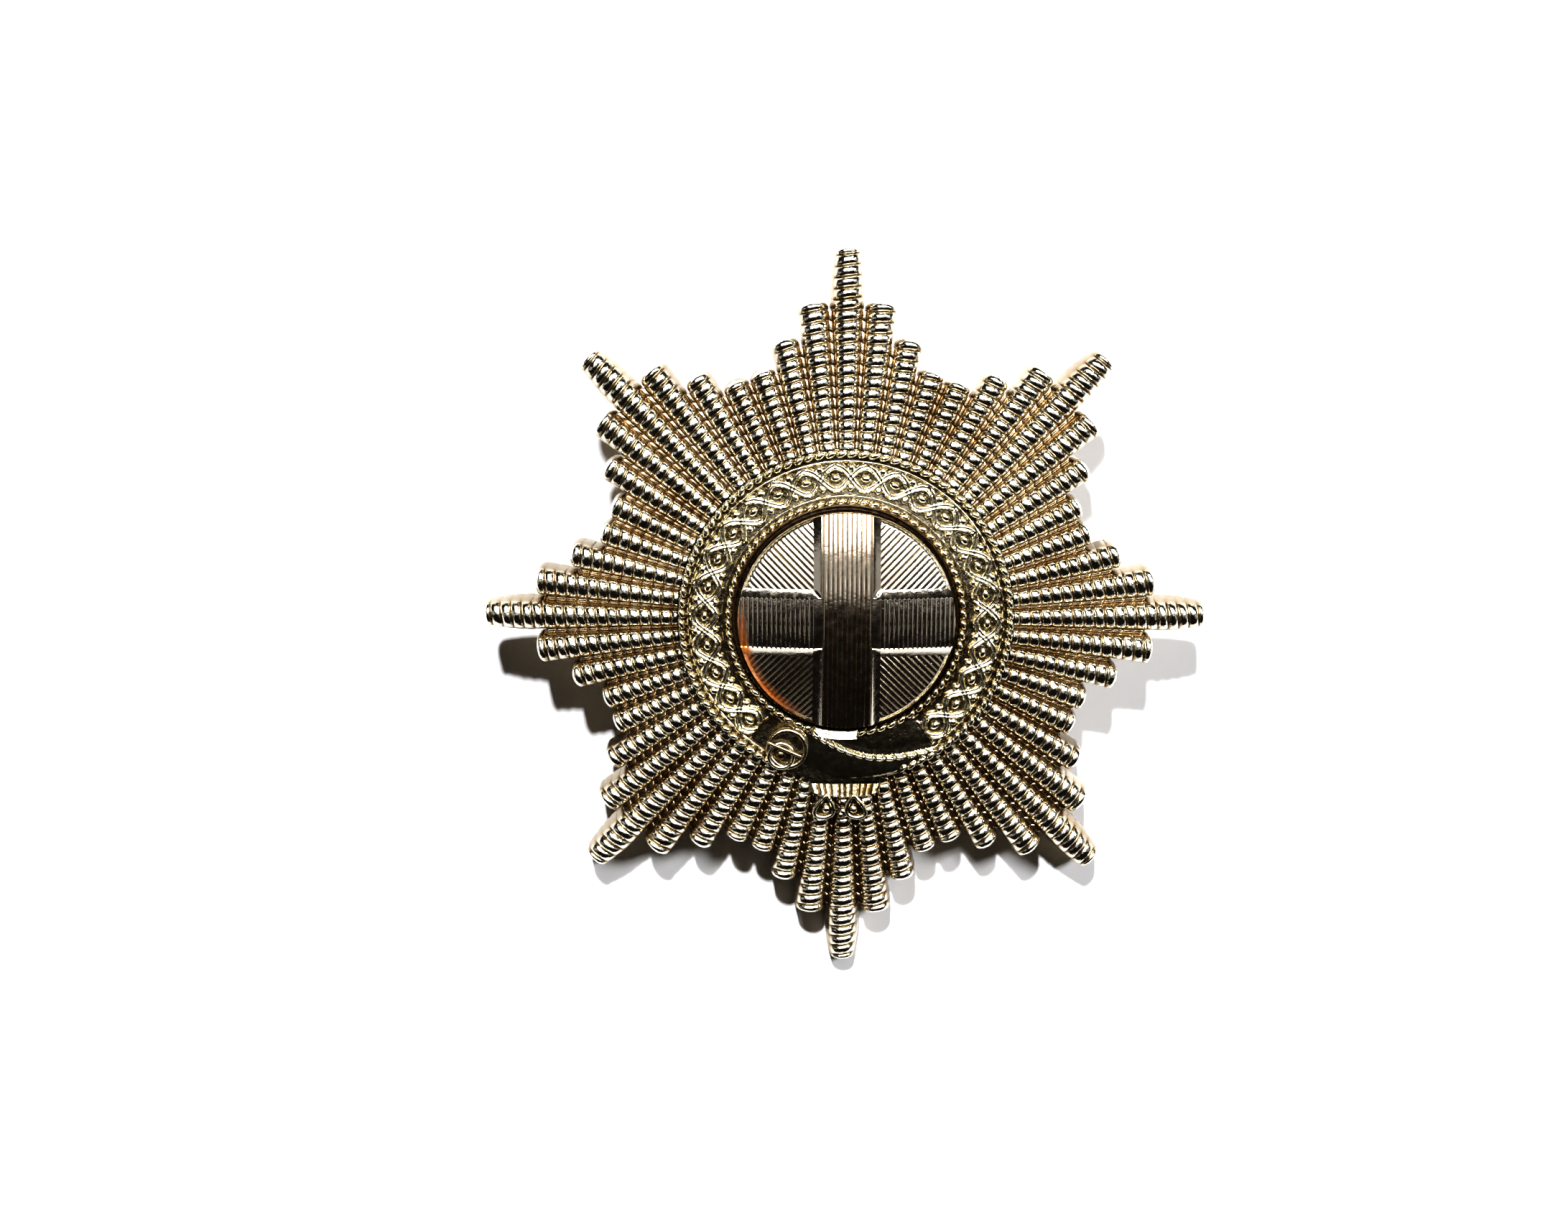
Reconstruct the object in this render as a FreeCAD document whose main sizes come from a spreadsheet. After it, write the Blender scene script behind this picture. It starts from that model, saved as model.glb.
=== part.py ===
"""Star cap badge: eight-pointed rayed star, buckled belt, domed centre with a cross, and its rear fixings.

Frame: millimetres. The origin is the centre of the flat seat on the badge's back, +Z leaves the face
and +Y points to the top star point. The wearer's right is -X.
"""
import FreeCAD, Part
import math
import os

import Sketcher
from FreeCAD import Placement, Rotation, Vector

DRIVING_SIZES = {
    # star
    "tip_radius": 22.0,
    "second_ray_radius": 18.95,
    "third_ray_radius": 17.1,
    "fourth_ray_radius": 15.65,
    "point_count": 8,
    "rays_per_point": 7,
    "ray_root_radius": 10.4,
    "ray_root_width": 1.04,
    "ray_full_width": 1.52,
    "ray_shoulder_radius": 17.0,
    "point_end_radius": 0.5,
    "ray_foot_margin": 0.04,
    "ray_foot_drop": 0.06,
    "ray_axis_root_z": 1.05,
    "ray_axis_tip_z": -0.15,
    "web_tip_radius": 20.6,
    "web_valley_radius": 14.6,
    "web_root_radius": 10.8,
    "web_tip_z": -0.35,
    "rim_depth": 1.0,
    "seat_z": 0.75,
    "seat_recess_radius": 12.6,
    "centre_hole_radius": 5.6,
    # belt
    "belt_outer_radius": 10.1,
    "belt_inner_radius": 6.75,
    "belt_floor_z": 1.75,
    "belt_rail_z": 2.0,
    "belt_rail_width": 0.35,
    "belt_ornament_radius": 8.55,
    "belt_ornament_length": 1.6,
    "belt_ornament_width": 0.8,
    "belt_ornament_count": 23,
    "belt_ornament_extent": 286.0,
    "belt_ornament_start": -53.0,
    "belt_rivet_radius": 0.4,
    "belt_rivet_clearance": 0.02,
    "belt_rivet_circle": 8.55,
    "belt_rivet_grip": 0.5,
    # buckle and hanging end of the belt
    "buckle_x": -3.6,
    "buckle_y": -7.9,
    "buckle_ring_radius": 1.15,
    "buckle_wire_width": 0.5,
    "buckle_wire_height": 0.45,
    "buckle_edge_round": 0.1,
    "tongue_length": 2.7,
    "tongue_width": 0.4,
    "tongue_height": 0.2,
    "tail_half_width": 2.3,
    "tail_fan_length": 0.95,
    "tail_thickness": 0.55,
    "tail_curl_radius": 0.9,
    "tail_curl_hole_radius": 0.4,
    "tail_curl_y": -11.5,
    "tail_curl_x": 0.85,
    "tail_base_z": 1.6,
    # domed centre and its cross
    "flange_radius": 7.4,
    "flange_thickness": 0.4,
    "flange_gap": 0.05,
    "disc_radius": 6.45,
    "disc_rim_z": 2.6,
    "disc_crest_z": 3.5,
    "disc_wall": 0.5,
    "cross_arm_width": 4.0,
    "cross_thickness": 0.45,
    "cross_bevel": 0.25,
    # back
    "backing_radius": 7.5,
    "backing_thickness": 0.3,
    "lug_spacing": 20.4,
    "lug_wire_radius": 0.5,
    "lug_loop_radius": 1.3,
    "lug_eye_z": -2.75,
    "lug_foot_depth": 0.25,
    "lug_foot_clearance": 0.03,
    "pin_radius": 0.7,
    "pin_leg_end_x": -14.0,
    "pin_neck_x": 13.5,
    "pin_slit_width": 0.12,
    "pin_slit_end_x": 13.0,
    "pin_eye_x": 15.0,
    "pin_eye_radius": 1.35,
    "pin_eye_wire_radius": 0.5,
    "pin_end_round": 0.3,
}


class Size:
    """A length with its spreadsheet formula, so that sums of driving sizes stay bound to the sheet."""

    def __init__(self, value, formula):
        self.value = value
        self.formula = formula

    @staticmethod
    def of(other):
        return other if isinstance(other, Size) else Size(float(other), repr(float(other)))

    def __add__(self, other):
        other = Size.of(other)
        return Size(self.value + other.value, f"({self.formula} + {other.formula})")

    def __sub__(self, other):
        other = Size.of(other)
        return Size(self.value - other.value, f"({self.formula} - {other.formula})")

    def __mul__(self, other):
        other = Size.of(other)
        return Size(self.value * other.value, f"({self.formula} * {other.formula})")

    def __truediv__(self, other):
        other = Size.of(other)
        return Size(self.value / other.value, f"({self.formula} / {other.formula})")

    def __neg__(self):
        return Size(-self.value, f"(-1 * {self.formula})")


document = FreeCAD.newDocument("cap_badge")
sheet = document.addObject("Spreadsheet::Sheet", "Sizes")
for row, (alias, number) in enumerate(DRIVING_SIZES.items(), start=1):
    sheet.set(f"A{row}", alias)
    sheet.set(f"B{row}", str(number))
    sheet.setAlias(f"B{row}", alias)
document.recompute()


def size(alias):
    return Size(float(DRIVING_SIZES[alias]), f"Sizes.{alias}")


ZERO = Size(0.0, "0.0")


def new_body(label):
    body = document.addObject("PartDesign::Body", label)
    body.Label = label
    return body


def bind(thing, path, amount):
    """Bind one property of an object to its spreadsheet formula."""
    thing.setExpression(path, Size.of(amount).formula)


def new_sketch(body, name, plane, offset=None):
    """Attach an empty sketch to one of the body's origin planes, moved by an optional placement."""
    sketch = body.newObject("Sketcher::SketchObject", name)
    support = [item for item in body.Origin.OriginFeatures if item.Role == plane][0]
    sketch.AttachmentSupport = [(support, "")]
    sketch.MapMode = "FlatFace"
    if offset is not None:
        sketch.AttachmentOffset = offset
    return sketch


def hold(sketch, kind, geometry, point, name, amount):
    """Hold one coordinate of a sketch point at a formula, measured from the sketch's origin."""
    index = sketch.addConstraint(Sketcher.Constraint(kind, -1, 1, geometry, point, amount.value))
    sketch.renameConstraint(index, name)
    bind(sketch, f"Constraints.{name}", amount)


def draw_outline(sketch, corners, arcs=None):
    """Draw a closed outline through corners; arcs maps an edge to its (centre, held coordinate, turn)."""
    arcs = arcs or {}
    count = len(corners)
    points = [(Size.of(x), Size.of(y)) for x, y in corners]
    for edge in range(count):
        start, end = points[edge], points[(edge + 1) % count]
        a = Vector(start[0].value, start[1].value, 0)
        b = Vector(end[0].value, end[1].value, 0)
        if edge in arcs:
            (cx, cy), _, turn = arcs[edge]
            sketch.addGeometry(short_arc(Vector(Size.of(cx).value, Size.of(cy).value, 0), a, b, turn), False)
        else:
            sketch.addGeometry(Part.LineSegment(a, b), False)
    for edge in range(count):
        follower = (edge + 1) % count
        first_end = 1 if arcs.get(edge, (0, 0, 1))[2] < 0 else 2
        next_start = 2 if arcs.get(follower, (0, 0, 1))[2] < 0 else 1
        sketch.addConstraint(Sketcher.Constraint("Coincident", edge, first_end, follower, next_start))
    for edge in range(count):
        start_point = 2 if arcs.get(edge, (0, 0, 1))[2] < 0 else 1
        hold(sketch, "DistanceX", edge, start_point, f"x{edge}", points[edge][0])
        hold(sketch, "DistanceY", edge, start_point, f"y{edge}", points[edge][1])
    for edge, ((cx, cy), held, _) in arcs.items():
        kind, amount = ("DistanceX", Size.of(cx)) if held == "x" else ("DistanceY", Size.of(cy))
        hold(sketch, kind, edge, 3, f"centre{edge}", amount)


def short_arc(centre, start, end, turn):
    """Arc from start to end about centre: turn is 1 anticlockwise and -1 clockwise."""
    radius = (start - centre).Length
    from_angle = math.atan2(start.y - centre.y, start.x - centre.x)
    to_angle = math.atan2(end.y - centre.y, end.x - centre.x)
    if turn < 0:
        from_angle, to_angle = to_angle, from_angle
    if to_angle <= from_angle:
        to_angle += 2 * math.pi
    return Part.ArcOfCircle(Part.Circle(centre, Vector(0, 0, 1), radius), from_angle, to_angle)


def draw_circle(sketch, x, y, radius, name="radius"):
    x, y, radius = Size.of(x), Size.of(y), Size.of(radius)
    index = sketch.addGeometry(Part.Circle(Vector(x.value, y.value, 0), Vector(0, 0, 1), radius.value), False)
    hold(sketch, "DistanceX", index, 3, f"{name}_x", x)
    hold(sketch, "DistanceY", index, 3, f"{name}_y", y)
    constraint = sketch.addConstraint(Sketcher.Constraint("Radius", index, radius.value))
    sketch.renameConstraint(constraint, name)
    bind(sketch, f"Constraints.{name}", radius)


def pad(body, name, sketch, length):
    feature = body.newObject("PartDesign::Pad", name)
    feature.Profile = sketch
    bind(feature, "Length", length)
    return feature


def pocket_up(body, name, sketch, length):
    """Cut a pocket from its sketch towards +Z."""
    feature = body.newObject("PartDesign::Pocket", name)
    feature.Profile = sketch
    feature.Reversed = True
    bind(feature, "Length", length)
    return feature


def revolve(body, name, sketch, axis="V_Axis", kind="PartDesign::Revolution"):
    feature = body.newObject(kind, name)
    feature.Profile = sketch
    feature.ReferenceAxis = (sketch, [axis])
    feature.Angle = 360.0
    return feature


def polar_copies(body, name, originals, count, extent=360.0):
    """Repeat features round the badge's own axis and make the result the body's tip."""
    support = [item for item in body.Origin.OriginFeatures if item.Role == "Z_Axis"][0]
    pattern = body.newObject("PartDesign::PolarPattern", name)
    pattern.Originals = originals
    pattern.Axis = (support, [""])
    bind(pattern, "Angle", extent)
    bind(pattern, "Occurrences", count)
    body.Tip = pattern
    return pattern


def raised(z, turn=0.0):
    """Offset for a sketch on the XY plane: lifted to height z and turned about +Z by degrees."""
    return Placement(Vector(0, 0, Size.of(z).value), Rotation(Vector(0, 0, 1), turn))


# ---------------------------------------------------------------- star

RAY_STEP = 360.0 / (size("point_count").value * size("rays_per_point").value)
RAY_TIPS = {
    -3: "fourth_ray_radius",
    -2: "third_ray_radius",
    -1: "second_ray_radius",
    0: "tip_radius",
    1: "second_ray_radius",
    2: "third_ray_radius",
    3: "fourth_ray_radius",
}


def ray_slope():
    """Fall of the ray's axis per millimetre of radius."""
    drop = size("ray_axis_root_z") - size("ray_axis_tip_z")
    return drop / (size("tip_radius") - size("ray_root_radius"))


def ray_axis_z(radius):
    return size("ray_axis_root_z") - (radius - size("ray_root_radius")) * ray_slope()


def ray_half_width(radius):
    """Rays widen evenly from the root to the shoulder, and at the same rate beyond it."""
    root = size("ray_root_width") / 2
    growth = (size("ray_full_width") / 2 - root) / (size("ray_shoulder_radius") - size("ray_root_radius"))
    return root + (radius - size("ray_root_radius")) * growth


def ray_end_radius(step):
    """Radius of the foot's round end; the ridge on it is narrower by the foot's margin."""
    if step == 0:
        return size("point_end_radius")
    return ray_half_width(size(RAY_TIPS[step]))


def add_ray_foot(body, step):
    """Flat-sided foot of one ray, from the rim's back up to the ray's axis, with a round end."""
    tip = size(RAY_TIPS[step])
    end = ray_end_radius(step)
    shoulder = size("ray_shoulder_radius") if step == 0 else size("web_valley_radius") - 1
    half = ray_half_width(shoulder) + size("ray_foot_margin")
    sketch = new_sketch(body, f"foot_outline_{step + 3}", "XY_Plane", raised(-size("rim_depth"), step * RAY_STEP))
    bind(sketch, "AttachmentOffset.Base.z", -size("rim_depth"))
    corners = [(shoulder, -half), (tip - end, -end), (tip - end, end), (shoulder, half)]
    draw_outline(sketch, corners, {1: ((tip - end, 0), "x", 1)})
    top = ray_axis_z(tip - end) - size("ray_foot_drop")
    return pad(body, f"ray_foot_{step + 3}", sketch, top + size("rim_depth"))


def add_ray_ridge(body, step):
    """Half-round ridge of one ray: a profile turned about the ray's own falling axis."""
    tip = size(RAY_TIPS[step]) - size("ray_foot_margin")
    end = ray_end_radius(step) - size("ray_foot_margin")
    slope = ray_slope().value
    stretch = math.hypot(1.0, slope)
    turn = Rotation(Vector(0, 1, 0), step * RAY_STEP) * Rotation(Vector(0, 0, 1), -math.degrees(math.atan(slope)))
    start_z = ray_axis_z(ZERO)
    offset = Placement(Vector(0, start_z.value, 0), turn)
    sketch = new_sketch(body, f"ridge_profile_{step + 3}", "XZ_Plane", offset)
    bind(sketch, "AttachmentOffset.Base.y", start_z)
    root = size("ray_root_radius") * stretch
    far = tip * stretch
    corners = [(root, 0), (root, ray_half_width(size("ray_root_radius")))]
    if step == 0:
        shoulder = size("ray_shoulder_radius")
        corners.append((shoulder * stretch, ray_half_width(shoulder)))
    corners += [(far - end, end), (far, 0)]
    arc_edge = len(corners) - 2
    draw_outline(sketch, corners, {arc_edge: ((far - end, 0), "x", -1)})
    return revolve(body, f"ray_ridge_{step + 3}", sketch, "H_Axis")


def make_star_plate():
    body = new_body("star_plate")
    outline = new_sketch(body, "web_outline", "XY_Plane", raised(-size("rim_depth")))
    bind(outline, "AttachmentOffset.Base.z", -size("rim_depth"))
    corners = []
    half_step = math.pi / size("point_count").value
    for index in range(2 * int(size("point_count").value)):
        reach = size("web_tip_radius") if index % 2 == 0 else size("web_valley_radius")
        corners.append((reach * math.cos(index * half_step), reach * math.sin(index * half_step)))
    draw_outline(outline, corners)
    web = pad(body, "web", outline, size("rim_depth") + size("seat_z"))

    cone = new_sketch(body, "web_cone", "XZ_Plane")
    root, tip = size("web_root_radius"), size("tip_radius")
    top = size("seat_z") + 1
    draw_outline(cone, [(root, size("seat_z")), (tip, size("web_tip_z")), (tip, top), (root, top)])
    cut = revolve(body, "web_fall", cone, "V_Axis", "PartDesign::Groove")
    document.recompute()
    check_cut(web, cut)

    rays = []
    for step in RAY_TIPS:
        rays.append(add_ray_foot(body, step))
        rays.append(add_ray_ridge(body, step))
    pattern = polar_copies(body, "all_rays", rays, size("point_count"))
    document.recompute()

    recess = pocket_up(body, "back_recess", round_hole(body, "recess_edge", -size("rim_depth"),
                                                       size("seat_recess_radius")), size("rim_depth"))
    document.recompute()
    check_cut(pattern, recess)
    bore = pocket_up(body, "centre_hole", round_hole(body, "hole_edge", 0, size("centre_hole_radius")),
                     size("seat_z"))
    document.recompute()
    check_cut(recess, bore)
    rebate = pocket_up(body, "backing_rebate", round_hole(body, "rebate_edge", 0, size("backing_radius")),
                       size("backing_thickness"))
    document.recompute()
    check_cut(bore, rebate)

    feet = new_sketch(body, "lug_seats_plan", "XY_Plane")
    foot_radius = size("lug_wire_radius") + size("lug_foot_clearance")
    for index, (side, leg) in enumerate([(-1, -1), (-1, 1), (1, -1), (1, 1)]):
        x = size("lug_spacing") * 0.5 * side
        draw_circle(feet, x, size("lug_loop_radius") * leg, foot_radius, f"seat{index}")
    seats = pocket_up(body, "lug_seats", feet, size("lug_foot_depth"))
    document.recompute()
    check_cut(rebate, seats)

    rivet_hole = pocket_up(body, "rivet_hole", rivet_circle(body, 0), size("seat_z"))
    polar_copies(body, "rivet_holes", [rivet_hole], 4)
    document.recompute()
    check_cut(seats, body.Tip)
    return body


def round_hole(body, name, z, radius):
    sketch = new_sketch(body, name, "XY_Plane", raised(z))
    bind(sketch, "AttachmentOffset.Base.z", z)
    draw_circle(sketch, 0, 0, radius)
    return sketch


def rivet_circle(body, z):
    """Edge of one rivet hole, halfway between two lugs."""
    sketch = new_sketch(body, "rivet_edge", "XY_Plane", raised(z, 45.0))
    bind(sketch, "AttachmentOffset.Base.z", z)
    draw_circle(sketch, size("belt_rivet_circle"), 0, size("belt_rivet_radius") + size("belt_rivet_clearance"))
    return sketch


def check_cut(before, after):
    if after.Shape.Volume >= before.Shape.Volume:
        raise RuntimeError(f"{after.Name} removes nothing")


# ---------------------------------------------------------------- belt

def make_belt_ring():
    body = new_body("belt_ring")
    section = new_sketch(body, "belt_section", "XZ_Plane")
    inner, outer = size("belt_inner_radius"), size("belt_outer_radius")
    rail = size("belt_rail_width")
    base, floor, top = size("seat_z"), size("belt_floor_z"), size("belt_rail_z")
    rebate = size("flange_radius") + size("flange_gap")
    ledge = base + size("flange_thickness")
    draw_outline(section, [
        (rebate, base), (outer, base), (outer, top), (outer - rail, top), (outer - rail, floor),
        (inner + rail, floor), (inner + rail, top), (inner, top), (inner, ledge), (rebate, ledge),
    ])
    ring = revolve(body, "belt_band", section)

    lozenge = new_sketch(body, "ornament_plan", "XY_Plane", raised(floor, DRIVING_SIZES["belt_ornament_start"]))
    bind(lozenge, "AttachmentOffset.Base.z", floor)
    middle = size("belt_ornament_radius")
    reach, half = size("belt_ornament_length") / 2, size("belt_ornament_width") / 2
    draw_outline(lozenge, [(middle - reach, 0), (middle, -half), (middle + reach, 0), (middle, half)])
    ornament = pad(body, "ornament", lozenge, top - floor)
    polar_copies(body, "ornaments", [ornament], size("belt_ornament_count"), size("belt_ornament_extent"))
    document.recompute()
    if body.Tip.Shape.Volume <= ring.Shape.Volume:
        raise RuntimeError("the ornaments add nothing")

    hole = pocket_up(body, "rivet_socket", rivet_circle(body, base), size("belt_rivet_grip"))
    decorated = body.Tip
    polar_copies(body, "rivet_sockets", [hole], 4)
    document.recompute()
    check_cut(decorated, body.Tip)
    return body


def make_belt_rivets():
    """Four rivets that hold the belt down on the star, flush with the back seat."""
    body = new_body("belt_rivets")
    body.AllowCompound = True
    plan = new_sketch(body, "rivet_plan", "XY_Plane", raised(0, 45.0))
    ring = size("belt_rivet_circle")
    for index, (x, y) in enumerate([(1, 0), (0, 1), (-1, 0), (0, -1)]):
        draw_circle(plan, ring * x, ring * y, size("belt_rivet_radius"), f"rivet{index}")
    pad(body, "rivets", plan, size("seat_z") + size("belt_rivet_grip"))
    return body


def make_belt_buckle():
    """Round buckle ring standing on the belt's outer rail."""
    body = new_body("belt_buckle")
    middle = Placement(Vector(size("buckle_x").value, 0, -size("buckle_y").value), Rotation())
    section = new_sketch(body, "ring_section", "XZ_Plane", middle)
    bind(section, "AttachmentOffset.Base.x", size("buckle_x"))
    bind(section, "AttachmentOffset.Base.z", -size("buckle_y"))
    half = size("buckle_wire_width") / 2
    low, high = size("belt_rail_z"), size("belt_rail_z") + size("buckle_wire_height")
    near, far = size("buckle_ring_radius") - half, size("buckle_ring_radius") + half
    draw_outline(section, [(near, low), (far, low), (far, high), (near, high)])
    revolve(body, "ring", section)
    document.recompute()
    soften_top(body, "ring_round", size("belt_rail_z").value + size("buckle_wire_height").value,
               size("buckle_edge_round"))
    return body


def soften_top(body, name, z, radius):
    """Round every edge of the body's top face."""
    tip = body.Tip
    edges = []
    for index, edge in enumerate(tip.Shape.Edges, start=1):
        if edge.BoundBox.ZMin > z - 0.001:
            edges.append(f"Edge{index}")
    fillet = body.newObject("PartDesign::Fillet", name)
    fillet.Base = (tip, edges)
    bind(fillet, "Radius", radius)
    document.recompute()
    check_cut(tip, fillet)


def make_buckle_tongue():
    """Bar across the buckle, lying along the belt."""
    body = new_body("buckle_tongue")
    base = size("belt_rail_z") + size("buckle_wire_height")
    along_belt = math.degrees(math.atan2(size("buckle_y").value, size("buckle_x").value)) + 90.0
    place = Placement(Vector(size("buckle_x").value, size("buckle_y").value, base.value),
                      Rotation(Vector(0, 0, 1), along_belt))
    plan = new_sketch(body, "tongue_plan", "XY_Plane", place)
    bind(plan, "AttachmentOffset.Base.x", size("buckle_x"))
    bind(plan, "AttachmentOffset.Base.y", size("buckle_y"))
    bind(plan, "AttachmentOffset.Base.z", base)
    reach, half = size("tongue_length") / 2, size("tongue_width") / 2
    draw_outline(plan, [(-reach, -half), (reach, -half), (reach, half), (-reach, half)],
                 {1: ((reach, 0), "x", 1), 3: ((-reach, 0), "x", 1)})
    pad(body, "tongue", plan, size("tongue_height"))
    return body


def make_belt_tail():
    """Hanging end of the belt: a pleated fan against the belt's edge with two curls below it."""
    body = new_body("belt_tail")
    fan = new_sketch(body, "fan_plan", "XY_Plane", raised(size("tail_base_z")))
    bind(fan, "AttachmentOffset.Base.z", size("tail_base_z"))
    half = size("tail_half_width")
    outer = size("belt_outer_radius")
    shoulder = Size(math.sqrt(outer.value ** 2 - half.value ** 2),
                    f"sqrt({outer.formula} * {outer.formula} - {half.formula} * {half.formula})")
    foot = -(outer + size("tail_fan_length"))
    draw_outline(fan, [(-half, -shoulder), (-half * 0.7, foot), (half * 0.7, foot), (half, -shoulder)],
                 {3: ((0, 0), "y", -1)})
    pad(body, "fan", fan, size("tail_thickness"))
    for side, name in ((-1, "left"), (1, "right")):
        curl = new_sketch(body, f"{name}_curl_plan", "XY_Plane", raised(size("tail_base_z")))
        bind(curl, "AttachmentOffset.Base.z", size("tail_base_z"))
        centre = size("tail_curl_x") * side
        draw_circle(curl, centre, size("tail_curl_y"), size("tail_curl_radius"), "outer")
        draw_circle(curl, centre, size("tail_curl_y"), size("tail_curl_hole_radius"), "inner")
        pad(body, f"{name}_curl", curl, size("tail_thickness"))
    return body


# ---------------------------------------------------------------- domed centre

def dome_radius():
    """Radius of the sphere through the disc's rim and crest."""
    rise = size("disc_crest_z") - size("disc_rim_z")
    rim = size("disc_radius")
    return (rim * rim + rise * rise) / (rise * 2)


def dome_edge_z(offset, radius):
    """Height at a radius on a sphere that is concentric with the dome and offset outwards."""
    ball = dome_radius() + offset
    centre = size("disc_crest_z") - dome_radius()
    root = Size(math.sqrt(ball.value ** 2 - radius.value ** 2),
                f"sqrt({ball.formula} * {ball.formula} - {radius.formula} * {radius.formula})")
    return centre + root


def make_centre_disc():
    """Hollow domed disc whose flange is clamped under the belt."""
    body = new_body("centre_disc")
    section = new_sketch(body, "disc_section", "XZ_Plane")
    base = size("seat_z")
    flange_top = base + size("flange_thickness")
    outer = size("disc_radius")
    inner = outer - size("disc_wall")
    centre = (ZERO, size("disc_crest_z") - dome_radius())
    draw_outline(section, [
        (0, size("disc_crest_z")), (outer, size("disc_rim_z")), (outer, flange_top),
        (size("flange_radius"), flange_top), (size("flange_radius"), base), (inner, base),
        (inner, dome_edge_z(-size("disc_wall"), inner)), (0, size("disc_crest_z") - size("disc_wall")),
    ], {0: (centre, "y", -1), 6: (centre, "y", 1)})
    revolve(body, "disc", section)
    return body


def make_centre_cross():
    """Plain cross that follows the dome, its arms running out to the disc's rim."""
    body = new_body("centre_cross")
    section = new_sketch(body, "cross_section", "XZ_Plane")
    rim = size("disc_radius")
    top = size("cross_thickness")
    centre = (ZERO, size("disc_crest_z") - dome_radius())
    draw_outline(section, [
        (0, size("disc_crest_z")), (rim, size("disc_rim_z")), (rim, dome_edge_z(top, rim)),
        (0, size("disc_crest_z") + top),
    ], {0: (centre, "y", -1), 2: (centre, "y", 1)})
    lens = revolve(body, "lens", section)
    document.recompute()
    corner = new_sketch(body, "quadrant_plan", "XY_Plane", raised(size("seat_z")))
    near, far = size("cross_arm_width") / 2, size("flange_radius")
    draw_outline(corner, [(near, near), (far, near), (far, far), (near, far)])
    quadrant = pocket_up(body, "quadrant", corner, size("disc_crest_z") + 1)
    arms = polar_copies(body, "quadrants", [quadrant], 4)
    document.recompute()
    check_cut(lens, arms)

    edges = []
    for index, edge in enumerate(arms.Shape.Edges, start=1):
        middle = edge.CenterOfMass
        beside_arm = abs(min(abs(middle.x), abs(middle.y)) - near.value) < 0.01
        if beside_arm and edge.Length > top.value * 2 and on_sphere(edge, top):
            edges.append(f"Edge{index}")
    bevel = body.newObject("PartDesign::Chamfer", "bevel")
    bevel.Base = (arms, edges)
    bind(bevel, "Size", size("cross_bevel"))
    document.recompute()
    check_cut(arms, bevel)
    return body


def on_sphere(edge, offset):
    """True if the edge's middle lies on the sphere that is offset outwards from the dome."""
    middle = edge.valueAt((edge.FirstParameter + edge.LastParameter) / 2)
    centre = Vector(0, 0, (size("disc_crest_z") - dome_radius()).value)
    return abs((middle - centre).Length - (dome_radius() + offset).value) < 0.01


# ---------------------------------------------------------------- back

def make_backing_plate():
    """Thin disc that closes the hollow centre, flush with the seat."""
    body = new_body("backing_plate")
    pad(body, "plate", round_hole(body, "plate_edge", 0, size("backing_radius")), size("backing_thickness"))
    return body


def make_lug(label, side):
    """Wire loop standing on the seat; its eye faces along X."""
    body = new_body(label)
    path = new_sketch(body, "loop_path", "YZ_Plane")
    reach, eye = size("lug_loop_radius"), size("lug_eye_z")
    top = size("lug_foot_depth")
    corners = [(reach, top), (reach, eye), (-reach, eye), (-reach, top)]
    for start, end in ((0, 1), (2, 3)):
        a, b = corners[start], corners[end]
        path.addGeometry(Part.LineSegment(Vector(a[0].value, a[1].value, 0), Vector(b[0].value, b[1].value, 0)),
                         False)
    arc = short_arc(Vector(0, eye.value, 0), Vector(-reach.value, eye.value, 0),
                    Vector(reach.value, eye.value, 0), 1)
    path.addGeometry(arc, False)
    path.addConstraint(Sketcher.Constraint("Coincident", 0, 2, 2, 2))
    path.addConstraint(Sketcher.Constraint("Coincident", 2, 1, 1, 1))
    for geometry, point, name, corner in ((0, 1, "a", 0), (0, 2, "b", 1), (1, 1, "c", 2), (1, 2, "d", 3)):
        hold(path, "DistanceX", geometry, point, f"{name}_y", corners[corner][0])
        hold(path, "DistanceY", geometry, point, f"{name}_z", corners[corner][1])
    hold(path, "DistanceY", 2, 3, "eye", eye)
    wire = new_sketch(body, "wire_section", "XY_Plane", raised(top))
    bind(wire, "AttachmentOffset.Base.z", top)
    draw_circle(wire, 0, reach, size("lug_wire_radius"))
    loop = body.newObject("PartDesign::AdditivePipe", "loop")
    loop.Profile = wire
    loop.Spine = path
    body.Placement = Placement(Vector(size("lug_spacing").value / 2 * side, 0, 0), Rotation())
    bind(body, "Placement.Base.x", size("lug_spacing") * 0.5 * side)
    return body


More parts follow.
